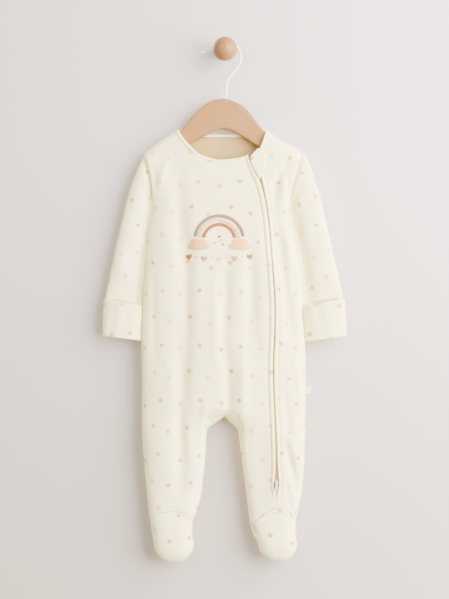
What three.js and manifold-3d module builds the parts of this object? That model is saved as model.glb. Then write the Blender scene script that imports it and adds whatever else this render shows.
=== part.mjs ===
// Footed baby sleepsuit with a long curved front zip, hanging on a wooden hanger whose
// wire hook rests on a round wall knob. Millimetres, +Z up. The origin is the centre of
// the knob's flat back on the wall plane y = 0, and the suit's front faces -Y.
import * as THREE from 'three';
import Module from 'manifold-3d';
import { mergeVertices } from 'three/addons/utils/BufferGeometryUtils.js';

const { clamp, lerp, smoothstep, degToRad } = THREE.MathUtils;

// Driving dimensions
const CLOTH = 1.5;              // wall thickness of the jersey
const SEAM = 0.4;               // gap left between two pieces at a seam
const MID = 17;                 // distance from the wall to the suit's middle plane
const FOOT_REACH = 5;           // how far the toes lean forward from that plane
const SHOULDER_ROUND = 11;      // height in which the cloth rounds over the hanger
const CHEST_LINE = -215;        // height where the yoke rows end
const SEAT_LINE = -540.2;       // height where the legs part
const ANKLE_LINE = -661;        // height of the foot seam at the sides
const FOOT_CENTRE_LINE = -685;  // height where the rounded toe begins
const BAND = 4.5;               // height of the neck binding
const BAND_THICK = 2.2;
const TAPE_WIDTH = 9;
const CUFF_CLOTH = 1.3;
const RING_POINTS = 20;         // points round a sleeve or cuff

const KNOB = { ball: 16.7, ballOut: 38, peg: 10 };
const WIRE = 1.5;               // radius of the hook's wire
const HANGER_THICK = 10;

// Outline of the body from the front; above the underarms it is the armhole seam.
const BODY = [
  { z: -142, left: -113.5, right: 104.5 },
  { z: -150, left: -111.5, right: 102.5 },
  { z: -168, left: -106, right: 98.5 },
  { z: -188, left: -102.2, right: 93.5 },
  { z: -207, left: -101.2, right: 90 },
  { z: -219, left: -101.5, right: 88.8 },
  { z: -235, left: -103.5, right: 90 },
  { z: -255, left: -108, right: 95.6 },
  { z: -276, left: -109.5, right: 99 },
  { z: -305, left: -111, right: 103.5 },
  { z: -341, left: -114.5, right: 107.2 },
  { z: -382, left: -115.5, right: 109.2 },
  { z: -414, left: -116.6, right: 111.6 },
  { z: -458, left: -115.4, right: 112 },
  { z: -508, left: -115.6, right: 111.6 },
  { z: -542, left: -114.8, right: 111 },
  { z: -576, left: -112.3, right: 110 },
  { z: -606, left: -109.8, right: 107.6 },
  { z: -639, left: -106.4, right: 101.6 },
  { z: -657, left: -103.8, right: 98 },
  { z: -670, left: -101.4, right: 97.6 },
  { z: -685, left: -98.6, right: 99.9 },
];

// Inner edges of the two legs.
const INSEAM = [
  { z: -500, left: -25, right: 18.5 },
  { z: -540.2, left: -26.3, right: 19.9 },
  { z: -555, left: -26.6, right: 21.4 },
  { z: -597, left: -30.4, right: 27 },
  { z: -625, left: -34.6, right: 30.6 },
  { z: -643, left: -40.2, right: 33 },
  { z: -660, left: -45.4, right: 35.6 },
  { z: -672, left: -45.6, right: 39.5 },
  { z: -685, left: -43.4, right: 46.3 },
];

// The rounded toe of each foot, below FOOT_CENTRE_LINE.
const TOES = {
  left: { centre: -71, half: 27.6, tip: -711.4, instep: 21 },
  right: { centre: 73.1, half: 26.8, tip: -710, instep: 25 },
};

// How far front and back stand out from the middle plane.
const BULGE = [
  { z: -105, front: 9, back: 10.5 },
  { z: -150, front: 11.5, back: 12 },
  { z: -200, front: 16, back: 12 },
  { z: -260, front: 21, back: 12 },
  { z: -340, front: 22.5, back: 12 },
  { z: -450, front: 22.5, back: 12 },
  { z: -560, front: 20, back: 12 },
  { z: -620, front: 18, back: 12 },
  { z: -655, front: 19.5, back: 12.5 },
  { z: -685, front: 19, back: 13 },
];

// The line that the cloth bends over, along the hanger's top edge and over the neck.
const SHOULDER = [
  { x: -118, z: -148.5 },
  { x: -113.5, z: -144.5 },
  { x: -106, z: -137.2 },
  { x: -90, z: -125 },
  { x: -65.3, z: -109 },
  { x: -45, z: -92 },
  { x: -4, z: -70 },
  { x: 38, z: -92 },
  { x: 57.5, z: -109.8 },
  { x: 75.5, z: -122.9 },
  { x: 105, z: -138.6 },
  { x: 110, z: -143 },
];

const ARMHOLES = {
  left: { top: -144.5, bottom: -207, front: 8.5, back: 11 },
  right: { top: -139.5, bottom: -219, front: 8.5, back: 11 },
};

// Front neckline from the left shoulder to the zip, and from the zip to the right shoulder.
const NECK_MAIN = [
  { x: -65.3, z: -109 },
  { x: -59.5, z: -118.8 },
  { x: -51.4, z: -128.9 },
  { x: -41.4, z: -139 },
  { x: -30.7, z: -146 },
  { x: -8.3, z: -151.8 },
  { x: 17.1, z: -149.3 },
  { x: 28.4, z: -145.4 },
];
const NECK_SIDE = [
  { x: 47.6, z: -136.6 },
  { x: 51.6, z: -126.5 },
  { x: 54.6, z: -118 },
  { x: 57.5, z: -109.8 },
];
const BACK_NECK_DIP = 6.2;
const FACING_BOTTOM = -178;

// The two edges of the front opening.
const OPENING = [
  { z: -140, left: 26, right: 48.9 },
  { z: -145.4, left: 28.4, right: 49 },
  { z: -150.5, left: 31.4, right: 49.2 },
  { z: -161.4, left: 36.3, right: 49.6 },
  { z: -171, left: 41.6, right: 50 },
  { z: -180, left: 47.2, right: 50.6 },
  { z: -194, left: 51.9, right: 53.7 },
  { z: -220, left: 57, right: 58.8 },
  { z: -245, left: 60.2, right: 62 },
  { z: -266, left: 61.9, right: 63.7 },
  { z: -313, left: 65.5, right: 67.3 },
  { z: -359, left: 68, right: 69.8 },
  { z: -391, left: 67.6, right: 69.4 },
  { z: -438, left: 65.7, right: 67.5 },
  { z: -541, left: 69.1, right: 70.9 },
  { z: -581, left: 70.2, right: 72.2 },
  { z: -589.5, left: 67.2, right: 75.2 },
  { z: -611, left: 67.2, right: 75.2 },
  { z: -620, left: 70.7, right: 71.5 },
  { z: -640, left: 69.6, right: 70.4 },
];

// Guard over the top of the zip.
const GUARD = [
  { z: -138.9, left: 42.4, right: 51.6 },
  { z: -142, left: 37.9, right: 53.8 },
  { z: -147, left: 31.4, right: 55.4 },
  { z: -155, left: 34, right: 56 },
  { z: -166, left: 39.2, right: 53.4 },
  { z: -174, left: 43.6, right: 50.4 },
  { z: -178.6, left: 47, right: 48.9 },
];

// Sleeves: the outer edge point, the inner edge point's height and its distance from the body.
const SLEEVES = {
  left: [
    { outX: -121.8, outZ: -165, inZ: -222, tuck: 1.3, swell: 10 },
    { outX: -132.6, outZ: -194, inZ: -246, tuck: 1.3, swell: 11 },
    { outX: -142.8, outZ: -235, inZ: -272, tuck: 1.3, swell: 11 },
    { outX: -151, outZ: -270, inZ: -302, tuck: 1.3, swell: 10.5 },
    { outX: -159.2, outZ: -308, inZ: -330, tuck: 2, swell: 9.5 },
    { outX: -165.6, outZ: -341, inZ: -352, tuck: 4.1, swell: 8.6 },
    { outX: -166.1, outZ: -361, inZ: -366, tuck: 4.6, swell: 8.4 },
  ],
  right: [
    { outX: 121, outZ: -169, inZ: -240, tuck: 2, swell: 10 },
    { outX: 132, outZ: -202, inZ: -262, tuck: 1.7, swell: 11 },
    { outX: 140.7, outZ: -239, inZ: -284, tuck: 1.3, swell: 11 },
    { outX: 148.9, outZ: -276, inZ: -308, tuck: 1.3, swell: 10.5 },
    { outX: 157.1, outZ: -310.5, inZ: -334, tuck: 2, swell: 9.5 },
    { outX: 163, outZ: -340, inZ: -354, tuck: 4.6, swell: 8.6 },
    { outX: 164.3, outZ: -361, inZ: -367, tuck: 5.2, swell: 8.4 },
  ],
};

// Turned-back cuffs, from the loose lip at the top to the fold at the bottom.
const CUFFS = {
  left: [
    { outX: -168.6, outZ: -346.5, inX: -117, inZ: -355.5, swell: 12.4 },
    { outX: -169.3, outZ: -361, inX: -117.4, inZ: -367.5, swell: 11.6 },
    { outX: -170, outZ: -379, inX: -118, inZ: -386, swell: 11 },
    { outX: -170.4, outZ: -395.5, inX: -118.4, inZ: -402.5, swell: 10.6 },
  ],
  right: [
    { outX: 166.4, outZ: -345, inX: 110.4, inZ: -355.5, swell: 12.4 },
    { outX: 167.4, outZ: -361, inX: 111.2, inZ: -368.5, swell: 11.6 },
    { outX: 168.4, outZ: -379, inX: 112.6, inZ: -388, swell: 11 },
    { outX: 169.2, outZ: -395.5, inX: 113.6, inZ: -404, swell: 10.6 },
  ],
};

// Crotch gusset: its curved front and back seams, and the ridge between the legs.
const GUSSET = { centreX: -3.2, centreZ: -526, halfWidth: 27.6, rise: 26, endAngle: 33 };
const GUSSET_RIDGE = [
  { x: -24, z: -539.4 },
  { x: -21.8, z: -528 },
  { x: -1.5, z: -510.5 },
  { x: 15.8, z: -528.4 },
  { x: 17.6, z: -539.4 },
];

// Largest soft folds of the front and back: a line, its width and its height (a trough is below 0).
const FRONT_FOLDS = [
  { x0: -54, z0: -535, x1: -42, z1: -625, width: 9, height: -3.2 },
  { x0: -84, z0: -430, x1: -82, z1: -610, width: 14, height: 1.8 },
  { x0: -38, z0: -255, x1: -36, z1: -460, width: 15, height: -2.6 },
  { x0: -88, z0: -165, x1: -66, z1: -300, width: 11, height: -2.4 },
  { x0: 4, z0: -330, x1: 14, z1: -480, width: 14, height: -1.8 },
  { x0: 72, z0: -180, x1: 70, z1: -228, width: 6, height: -2.2 },
  { x0: 81, z0: -320, x1: 99, z1: -410, width: 8, height: -2.6 },
  { x0: 92, z0: -560, x1: 98, z1: -625, width: 7, height: -2.4 },
  { x0: 46, z0: -545, x1: 50, z1: -625, width: 8, height: -1.6 },
];
const BACK_FOLDS = [
  { x0: -70, z0: -180, x1: -48, z1: -330, width: 13, height: -2.2 },
  { x0: 62, z0: -175, x1: 40, z1: -310, width: 13, height: -2.2 },
  { x0: 2, z0: -300, x1: -4, z1: -470, width: 16, height: -1.8 },
  { x0: -74, z0: -540, x1: -68, z1: -630, width: 11, height: -2 },
  { x0: 70, z0: -545, x1: 62, z1: -625, width: 11, height: -2 },
];
const SLEEVE_FOLDS = [
  { at: 0.32, angle: 75, width: 0.11, height: -1.8 },
  { at: 0.55, angle: 120, width: 0.1, height: -1.6 },
  { at: 0.74, angle: 60, width: 0.09, height: -1.4 },
  { at: 0.45, angle: 260, width: 0.12, height: -1.5 },
];

// Chest decoration: three arcs between two clouds.
const DECORATION = { x: -8, z: -264, width: 5.2, step: 6, inner: 19, thick: 1.2 };
const CLOUDS = [
  { name: 'applique_cloud_left', x: -36.5, z: -270, width: 32, height: 15 },
  { name: 'applique_cloud_right', x: 20.5, z: -270, width: 32, height: 15 },
];

// Zip slider and its pull tab.
const SLIDER = { x: 71.2, top: -596.6, bottom: -605.8, width: 6.4, back: 1.1, front: 1.7 };
const BRIDGE = { z: -599.9, width: 1.6, reach: 2.7, length: 3.8, wall: 0.8 };
const PULL = { width: 4.8, thick: 0.8, bar: 1, window: 2.8, windowLength: 3.2, length: 9.6 };

const HANGER_TOP = [
  { x: 0.8, z: -66.9 },
  { x: -11.1, z: -68 },
  { x: -24.5, z: -72.8 },
  { x: -40.4, z: -85.4 },
  { x: -54, z: -103 },
  { x: -66, z: -115.8 },
  { x: -89, z: -131 },
  { x: -98, z: -138.5 },
  { x: -101, z: -145 },
  { x: -98, z: -151 },
  { x: -88, z: -149 },
  { x: -65, z: -137.5 },
  { x: -50.3, z: -129.7 },
  { x: -25, z: -117 },
];
const HANGER_RIGHT = [
  { x: -2.1, z: -108.6 },
  { x: 22, z: -118.5 },
  { x: 47.4, z: -134.3 },
  { x: 72, z: -145.5 },
  { x: 86, z: -150.5 },
  { x: 91.5, z: -145 },
  { x: 88, z: -138.2 },
  { x: 75.5, z: -130 },
  { x: 59, z: -116.8 },
  { x: 48, z: -104.2 },
  { x: 42.1, z: -96 },
  { x: 28.8, z: -80 },
  { x: 15.4, z: -71.4 },
];

const HOOK = [
  { x: 1.1, z: -66.2 },
  { x: 1.9, z: -52 },
  { x: 2.3, z: -45.3 },
  { x: 5.4, z: -37.9 },
  { x: 11, z: -31 },
  { x: 16.7, z: -24.2 },
  { x: 20.3, z: -18.1 },
  { x: 22.2, z: -9.5 },
  { x: 20.8, z: -1 },
  { x: 15.7, z: 7 },
  { x: 8, z: 11.3 },
  { x: 0, z: 12.1 },
  { x: -8.5, z: 11.6 },
  { x: -16, z: 8.3 },
  { x: -22.3, z: 2.2 },
  { x: -27.4, z: -2 },
  { x: -30.4, z: -2.4 },
];

const COLOURS = {
  jersey: 0xf1ecdc, marl: 0xe4d5bd, binding: 0xf2ecda, tape: 0xdcbb8c, metal: 0xc9c9c6,
  beech: 0xdcc09a, knob: 0xcfae90, wire: 0xf3f3ee, sand: 0xd9b48a, pink: 0xeac6b0,
  taupe: 0xb39a83, label: 0xf4efe2,
};

// A smooth curve through one column of a table, read at a value of another column.
function tableCurve(rows, input, output) {
  const sorted = [...rows].sort((a, b) => a[input] - b[input]);
  const xs = sorted.map((row) => row[input]);
  const ys = sorted.map((row) => row[output]);
  const secant = (i) => (ys[i + 1] - ys[i]) / (xs[i + 1] - xs[i]);
  const slopes = ys.map((_, i) => {
    if (i === 0) return secant(0);
    if (i === ys.length - 1) return secant(i - 1);
    const before = secant(i - 1);
    const after = secant(i);
    return before * after <= 0 ? 0 : (2 * before * after) / (before + after);
  });
  return (value) => {
    if (value <= xs[0]) return ys[0];
    if (value >= xs[xs.length - 1]) return ys[ys.length - 1];
    const i = xs.findIndex((x) => x > value) - 1;
    const span = xs[i + 1] - xs[i];
    const t = (value - xs[i]) / span;
    const rise = ys[i + 1] - ys[i];
    const bend = t * (1 - t) * ((1 - t) * (slopes[i] * span - rise) - t * (slopes[i + 1] * span - rise));
    return ys[i] + rise * t + bend;
  };
}

const bodyLeft = tableCurve(BODY, 'z', 'left');
const bodyRight = tableCurve(BODY, 'z', 'right');
const innerLeft = tableCurve(INSEAM, 'z', 'left');
const innerRight = tableCurve(INSEAM, 'z', 'right');
const openingLeft = tableCurve(OPENING, 'z', 'left');
const openingRight = tableCurve(OPENING, 'z', 'right');
const guardLeft = tableCurve(GUARD, 'z', 'left');
const guardRight = tableCurve(GUARD, 'z', 'right');
const shoulderZ = tableCurve(SHOULDER, 'x', 'z');
const bulges = { front: tableCurve(BULGE, 'z', 'front'), back: tableCurve(BULGE, 'z', 'back') };

// Outer and inner edge of one leg and foot, the toe being half an ellipse.
function legEdges(side, z) {
  const toe = TOES[side];
  const inner = side === 'left' ? innerLeft : innerRight;
  const outer = side === 'left' ? bodyLeft : bodyRight;
  const low = clamp((FOOT_CENTRE_LINE - z) / (FOOT_CENTRE_LINE - toe.tip), 0, 1);
  if (low === 0) return [Math.min(inner(z), outer(z)), Math.max(inner(z), outer(z))];
  const half = toe.half * Math.sqrt(1 - low * low);
  return [toe.centre - half, toe.centre + half];
}

// 0 at both edges of a section and 1 over its middle.
function crown(x, from, to) {
  const power = 2.6;
  const t = clamp(Math.abs((2 * x - from - to) / Math.max(to - from, 0.01)), 0, 1);
  return (1 - t ** power) ** (1 / power);
}

function toeRounding(side, z) {
  const low = clamp((FOOT_CENTRE_LINE - z) / (FOOT_CENTRE_LINE - TOES[side].tip), 0, 1);
  return (1 - low * low) ** 0.4;
}

// Half thickness of the armhole ring at a height, 0 outside the armhole.
function armholeHalf(armhole, face, z) {
  const q = (2 * z - armhole.top - armhole.bottom) / (armhole.top - armhole.bottom);
  return Math.abs(q) >= 1 ? 0 : armhole[face] * (1 - q * q) ** 0.45;
}

function foldHeight(folds, x, z) {
  let height = 0;
  for (const fold of folds) {
    const dx = fold.x1 - fold.x0;
    const dz = fold.z1 - fold.z0;
    const along = ((x - fold.x0) * dx + (z - fold.z0) * dz) / (dx * dx + dz * dz);
    const t = clamp(along, 0, 1);
    const away = Math.hypot(x - fold.x0 - t * dx, z - fold.z0 - t * dz) / fold.width;
    height += fold.height * Math.exp(-away * away) * Math.sin(Math.PI * (0.12 + 0.76 * t));
  }
  return height;
}

// The middle plane of the suit, which leans forward in the feet.
function middle(z) {
  return MID + FOOT_REACH * smoothstep(-z, 640, 705);
}

// How far the cloth's outer face stands from the wall at a place seen from the front.
function reach(face, x, z) {
  const side = x < GUSSET.centreX ? 'left' : 'right';
  const [legFrom, legTo] = legEdges(side, z);
  const rim = armholeHalf(ARMHOLES[side], face, z);
  const drop = clamp((shoulderZ(x) - z) / SHOULDER_ROUND, 0, 1);
  const full = bulges[face](z) * Math.sqrt(1 - (1 - drop) ** 2);
  const legWeight = smoothstep(-z, 495, -SEAT_LINE);
  const torso = lerp(rim, full, crown(x, bodyLeft(z), bodyRight(z)));
  const legCrown = crown(x, legFrom, legTo);
  const leg = full * legCrown * toeRounding(side, z);
  let half = lerp(torso, leg, legWeight);
  const calm = Math.min(1, half / 12) * smoothstep(shoulderZ(x) - z, 12, 40);
  half += calm * foldHeight(face === 'front' ? FRONT_FOLDS : BACK_FOLDS, x, z);
  return face === 'front' ? middle(z) + half : middle(z) - half;
}

function frontPoint(x, z, lift = 0) {
  return new THREE.Vector3(x, -reach('front', x, z) - lift, z);
}

function backPoint(x, z, lift = 0) {
  return new THREE.Vector3(x, -reach('back', x, z) + lift, z);
}

// Rows of places between two given rows, kept on the side edges; crowding draws them upwards.
function fillRows(first, last, count, leftX, rightX, crowding = 1) {
  const rows = [first];
  for (let k = 1; k < count; k += 1) {
    const v = (k / count) ** crowding;
    const row = first.map((place, c) => ({ x: lerp(place.x, last[c].x, v), z: lerp(place.z, last[c].z, v) }));
    const leftShift = leftX(row[0].z) - row[0].x;
    const rightShift = rightX(row[row.length - 1].z) - row[row.length - 1].x;
    rows.push(row.map((place, c) => {
      const u = c / (row.length - 1);
      return { x: place.x + (1 - u) * leftShift + u * rightShift, z: place.z };
    }));
  }
  rows.push(last);
  return rows;
}

// Places spaced evenly along a smooth curve through a table, moved to one side of it.
function along(table, from, to, count, offset = 0, crowding = 1) {
  const curve = new THREE.SplineCurve(table.map((row) => new THREE.Vector2(row.x, row.z)));
  const places = [];
  for (let i = 0; i <= count; i += 1) {
    const u = lerp(from, to, (i / count) ** crowding);
    const point = curve.getPointAt(u);
    const tangent = curve.getTangentAt(u);
    places.push({ x: point.x + tangent.y * offset, z: point.y - tangent.x * offset });
  }
  return places;
}

// A closed wall of even thickness behind a grid of points, set in by an inset. Null points leave a hole.
function sheetSolid(grid, thickness, options = {}) {
  const { wrap = false, outward = new THREE.Vector3(0, -1, 0), flatten = () => false, inset = 0 } = options;
  const rows = grid.length;
  const columns = grid[0].length;
  const cells = [];
  for (let r = 0; r < rows - 1; r += 1) {
    for (let c = 0; c < (wrap ? columns : columns - 1); c += 1) {
      const next = (c + 1) % columns;
      const corners = [[r, c], [r, next], [r + 1, next], [r + 1, c]];
      if (corners.every(([i, j]) => grid[i][j])) cells.push(corners.map(([i, j]) => i * columns + j));
    }
  }
  const points = grid.flat();
  const normals = points.map(() => new THREE.Vector3());
  for (const cell of cells) {
    const across = points[cell[2]].clone().sub(points[cell[0]]);
    const down = points[cell[3]].clone().sub(points[cell[1]]);
    const normal = across.cross(down);
    cell.forEach((i) => normals[i].add(normal));
  }
  const total = normals.reduce((sum, n, i) => sum + (points[i] ? n.dot(outwardAt(outward, points[i])) : 0), 0);
  const flip = total < 0;
  const used = [...new Set(cells.flat())];
  const slot = new Map(used.map((index, i) => [index, i]));
  const vertices = [];
  for (const depth of [inset, inset + thickness]) {
    for (const index of used) {
      const normal = normals[index].clone().multiplyScalar(flip ? -1 : 1);
      if (flatten(points[index])) normal.y = 0;
      vertices.push(points[index].clone().addScaledVector(normal.normalize(), -depth));
    }
  }
  const triangles = [];
  const sides = new Map();
  for (const cell of cells) {
    const [a, b, c, d] = (flip ? [...cell].reverse() : cell).map((i) => slot.get(i));
    const n = used.length;
    triangles.push([a, b, c], [a, c, d], [a + n, c + n, b + n], [a + n, d + n, c + n]);
    for (const [from, to] of [[a, b], [b, c], [c, d], [d, a]]) {
      if (!sides.delete(`${to} ${from}`)) sides.set(`${from} ${to}`, [from, to]);
    }
  }
  for (const [from, to] of sides.values()) {
    const n = used.length;
    triangles.push([to, from, from + n], [to, from + n, to + n]);
  }
  return solidFrom(vertices, triangles);
}

function outwardAt(outward, point) {
  return typeof outward === 'function' ? outward(point) : outward;
}

function solidFrom(vertices, triangles) {
  const geometry = new THREE.BufferGeometry();
  geometry.setAttribute('position', new THREE.Float32BufferAttribute(vertices.flatMap((v) => v.toArray()), 3));
  let volume = 0;
  for (const [a, b, c] of triangles) volume += vertices[a].dot(vertices[b].clone().cross(vertices[c]));
  const ordered = volume < 0 ? triangles.map(([a, b, c]) => [a, c, b]) : triangles;
  geometry.setIndex(ordered.flat());
  return geometry;
}

// A closed wall from rings of points in order, the last joined back to the first.
function ringWall(rings) {
  const count = rings[0].length;
  const triangles = [];
  rings.forEach((_, k) => {
    const next = (k + 1) % rings.length;
    for (let i = 0; i < count; i += 1) {
      const j = (i + 1) % count;
      const [a, b, c, d] = [k * count + i, k * count + j, next * count + j, next * count + i];
      triangles.push([a, b, c], [a, c, d]);
    }
  });
  return solidFrom(rings.flat(), triangles);
}

const suit = new THREE.Group();
const colourOf = {};

function add(name, geometry, colour, roughness = 0.9, metalness = 0) {
  colourOf[colour] ??= new Map();
  const key = `${roughness} ${metalness}`;
  if (!colourOf[colour].has(key)) {
    colourOf[colour].set(key, new THREE.MeshStandardMaterial({ color: COLOURS[colour], roughness, metalness }));
  }
  const mesh = new THREE.Mesh(geometry, colourOf[colour].get(key));
  mesh.name = name;
  suit.add(mesh);
  return mesh;
}

// Cosine spacing, which puts more columns beside the rounded edges.
function edgeSpacing(count, i) {
  return (1 - Math.cos((Math.PI * i) / count)) / 2;
}

const onSideSeam = (point) => Math.abs(-point.y - middle(point.z)) < 0.6;

// Places of the gusset seam, from the left leg over to the right leg.
function gussetSeam(count, shrink = 0, endAngle = 0) {
  const places = [];
  for (let i = 0; i <= count; i += 1) {
    const angle = degToRad(lerp(180 + endAngle, -endAngle, i / count));
    places.push({
      x: GUSSET.centreX + (GUSSET.halfWidth - shrink) * Math.cos(angle),
      z: GUSSET.centreZ + (GUSSET.rise - shrink) * Math.sin(angle),
    });
  }
  return places;
}

// Inner edge of a leg panel: the gusset's seam at the top, the inseam below it.
function panelInner(side, z) {
  if (z < SEAT_LINE) return side === 'left' ? innerLeft(z) : innerRight(z);
  const low = clamp((z - GUSSET.centreZ) / GUSSET.rise, -1, 0);
  const half = GUSSET.halfWidth * Math.sqrt(1 - low * low);
  return side === 'left' ? GUSSET.centreX - half : GUSSET.centreX + half;
}

// The curved seam over one foot, at given columns.
function footSeam(side, xs, drop = 0) {
  const [from, to] = legEdges(side, ANKLE_LINE);
  return xs.map((x) => ({ x, z: ANKLE_LINE - drop + TOES[side].instep * crown(x, from, to) }));
}

// Columns where the panels meet the foot: one panel on the left leg, two on the right.
function ankleColumns(side, part = 'all') {
  const [from, to] = legEdges(side, ANKLE_LINE);
  if (side === 'left') {
    return Array.from({ length: LEG_COLUMNS + 1 }, (_, i) => lerp(from, to, edgeSpacing(LEG_COLUMNS, i)));
  }
  const main = Array.from({ length: INNER_COLUMNS + 1 }, (_, i) => (
    lerp(from, openingLeft(-640), Math.sin((Math.PI / 2) * (i / INNER_COLUMNS)) ** 1.4)));
  const beside = Array.from({ length: SIDE_COLUMNS + 1 }, (_, i) => (
    lerp(openingRight(-640), to, Math.sin((Math.PI / 2) * (i / SIDE_COLUMNS)))));
  if (part === 'main') return main;
  return part === 'side' ? beside : [...main, ...beside.slice(1)];
}

const LEG_COLUMNS = 8;
const ARCH_COLUMNS = 10;
const INNER_COLUMNS = 4;
const SIDE_COLUMNS = 7;
const YOKE_ROWS = 8;
const YOKE_CROWDING = 1.9;
const BODY_ROWS = 11;
const LEG_ROWS = 8;
const LEG_CROWDING = 1.6;

// Front panel left of the zip, with the whole left leg and the inner part of the right leg.
function frontMainPanel() {
  const shoulderCount = 6;
  const columns = LEG_COLUMNS + ARCH_COLUMNS + INNER_COLUMNS;
  const neck = along(NECK_MAIN, 0, 1, columns - shoulderCount, BAND + SEAM);
  const top = [];
  for (let i = 0; i < shoulderCount; i += 1) {
    const x = lerp(-113, neck[0].x, i / shoulderCount);
    top.push({ x, z: shoulderZ(x) - SEAM });
  }
  neck[0].z = shoulderZ(neck[0].x) - SEAM;
  neck[neck.length - 1] = { x: openingLeft(-150.5), z: -150.5 };
  top.push(...neck);

  const arch = gussetSeam(ARCH_COLUMNS);
  const seat = [];
  for (let c = 0; c <= columns; c += 1) {
    if (c < LEG_COLUMNS) {
      seat.push({ x: lerp(bodyLeft(GUSSET.centreZ), arch[0].x, edgeSpacing(LEG_COLUMNS, c)), z: GUSSET.centreZ });
    } else if (c <= LEG_COLUMNS + ARCH_COLUMNS) {
      seat.push({ ...arch[c - LEG_COLUMNS] });
    } else {
      const u = (c - LEG_COLUMNS - ARCH_COLUMNS) / INNER_COLUMNS;
      seat.push({ x: lerp(arch[ARCH_COLUMNS].x, openingLeft(GUSSET.centreZ), u), z: GUSSET.centreZ });
    }
  }
  const chest = seat.map((place, c) => {
    const even = c / columns;
    const low = (place.x - seat[0].x) / (seat[columns].x - seat[0].x);
    const u = lerp(even, low, 0.45);
    return { x: lerp(bodyLeft(CHEST_LINE), openingLeft(CHEST_LINE), u), z: CHEST_LINE };
  });
  const yoke = fillRows(top, chest, YOKE_ROWS, bodyLeft, openingLeft, YOKE_CROWDING);
  const body = fillRows(chest, seat, BODY_ROWS, bodyLeft, openingLeft);

  const leftAnkle = footSeam('left', ankleColumns('left'));
  const leftInner = (z) => panelInner('left', z);
  const rightInner = (z) => panelInner('right', z);
  const leftTop = seat.slice(0, LEG_COLUMNS + 1);
  const leftLeg = fillRows(leftTop, leftAnkle, LEG_ROWS, bodyLeft, leftInner, LEG_CROWDING);
  const rightAnkle = footSeam('right', ankleColumns('right', 'main'));
  const rightTop = seat.slice(LEG_COLUMNS + ARCH_COLUMNS);
  const rightLeg = fillRows(rightTop, rightAnkle, LEG_ROWS, rightInner, openingLeft, LEG_CROWDING);

  const grid = [...yoke, ...body.slice(1)].map((row) => row.map((place) => frontPoint(place.x, place.z)));
  for (let r = 1; r <= LEG_ROWS; r += 1) {
    const row = new Array(columns + 1).fill(null);
    leftLeg[r].forEach((place, c) => { row[c] = frontPoint(place.x, place.z); });
    rightLeg[r].forEach((place, c) => { row[LEG_COLUMNS + ARCH_COLUMNS + c] = frontPoint(place.x, place.z); });
    grid.push(row);
  }
  return sheetSolid(shiftFromSeams(grid, -SEAM / 2), CLOTH, { flatten: onSideSeam });
}

// Points on the middle plane are moved off it, so that front and back stay apart.
function shiftFromSeams(grid, shift) {
  return grid.map((row) => row.map((point) => {
    if (point && onSideSeam(point)) point.y = -middle(point.z) + shift;
    return point;
  }));
}

// Front panel right of the zip, down to the ankle.
function frontSidePanel() {
  const neckCount = 3;
  const shoulderCount = SIDE_COLUMNS - neckCount - 1;
  const neck = along(NECK_SIDE, 0, 1, neckCount, BAND + SEAM + 0.2);
  neck[0].z -= 0.8;
  neck[neckCount].z = shoulderZ(neck[neckCount].x) - SEAM;
  const top = [{ x: openingRight(-143), z: -143 }, ...neck];
  for (let i = 1; i <= shoulderCount; i += 1) {
    const x = lerp(neck[neckCount].x, 104.6, i / shoulderCount);
    top.push({ x, z: shoulderZ(x) - SEAM });
  }
  const spacing = (i) => Math.sin((Math.PI / 2) * (i / SIDE_COLUMNS));
  const rowAt = (z) => top.map((_, i) => ({ x: lerp(openingRight(z), bodyRight(z), spacing(i)), z }));
  const chest = rowAt(CHEST_LINE - 10);
  const seat = rowAt(GUSSET.centreZ);
  const ankle = footSeam('right', ankleColumns('right', 'side'));
  const rows = [
    ...fillRows(top, chest, YOKE_ROWS, openingRight, bodyRight, YOKE_CROWDING),
    ...fillRows(chest, seat, BODY_ROWS, openingRight, bodyRight).slice(1),
    ...fillRows(seat, ankle, LEG_ROWS, openingRight, bodyRight, LEG_CROWDING).slice(1),
  ];
  const grid = rows.map((row) => row.map((place) => frontPoint(place.x, place.z)));
  return sheetSolid(shiftFromSeams(grid, -SEAM / 2), CLOTH, { flatten: onSideSeam });
}

// Back neckline from the left to the right shoulder, lowered by an offset.
function backNeck(count, offset) {
  const left = NECK_MAIN[0].x - 0.75 * offset;
  const right = NECK_SIDE[NECK_SIDE.length - 1].x + 0.75 * offset;
  const places = [];
  for (let i = 0; i <= count; i += 1) {
    const s = (2 * i) / count - 1;
    const x = lerp(left, right, i / count);
    const edge = Math.min(shoulderZ(left), shoulderZ(right));
    const level = lerp(NECK_MAIN[0].z - BACK_NECK_DIP, edge, Math.abs(s) ** 2.2);
    places.push({ x, z: level - offset * (1 - Math.abs(s) ** 6) - (Math.abs(s) === 1 ? SEAM : 0) });
  }
  places[0].z = shoulderZ(left) - SEAM;
  places[count].z = shoulderZ(right) - SEAM;
  return places;
}

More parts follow.
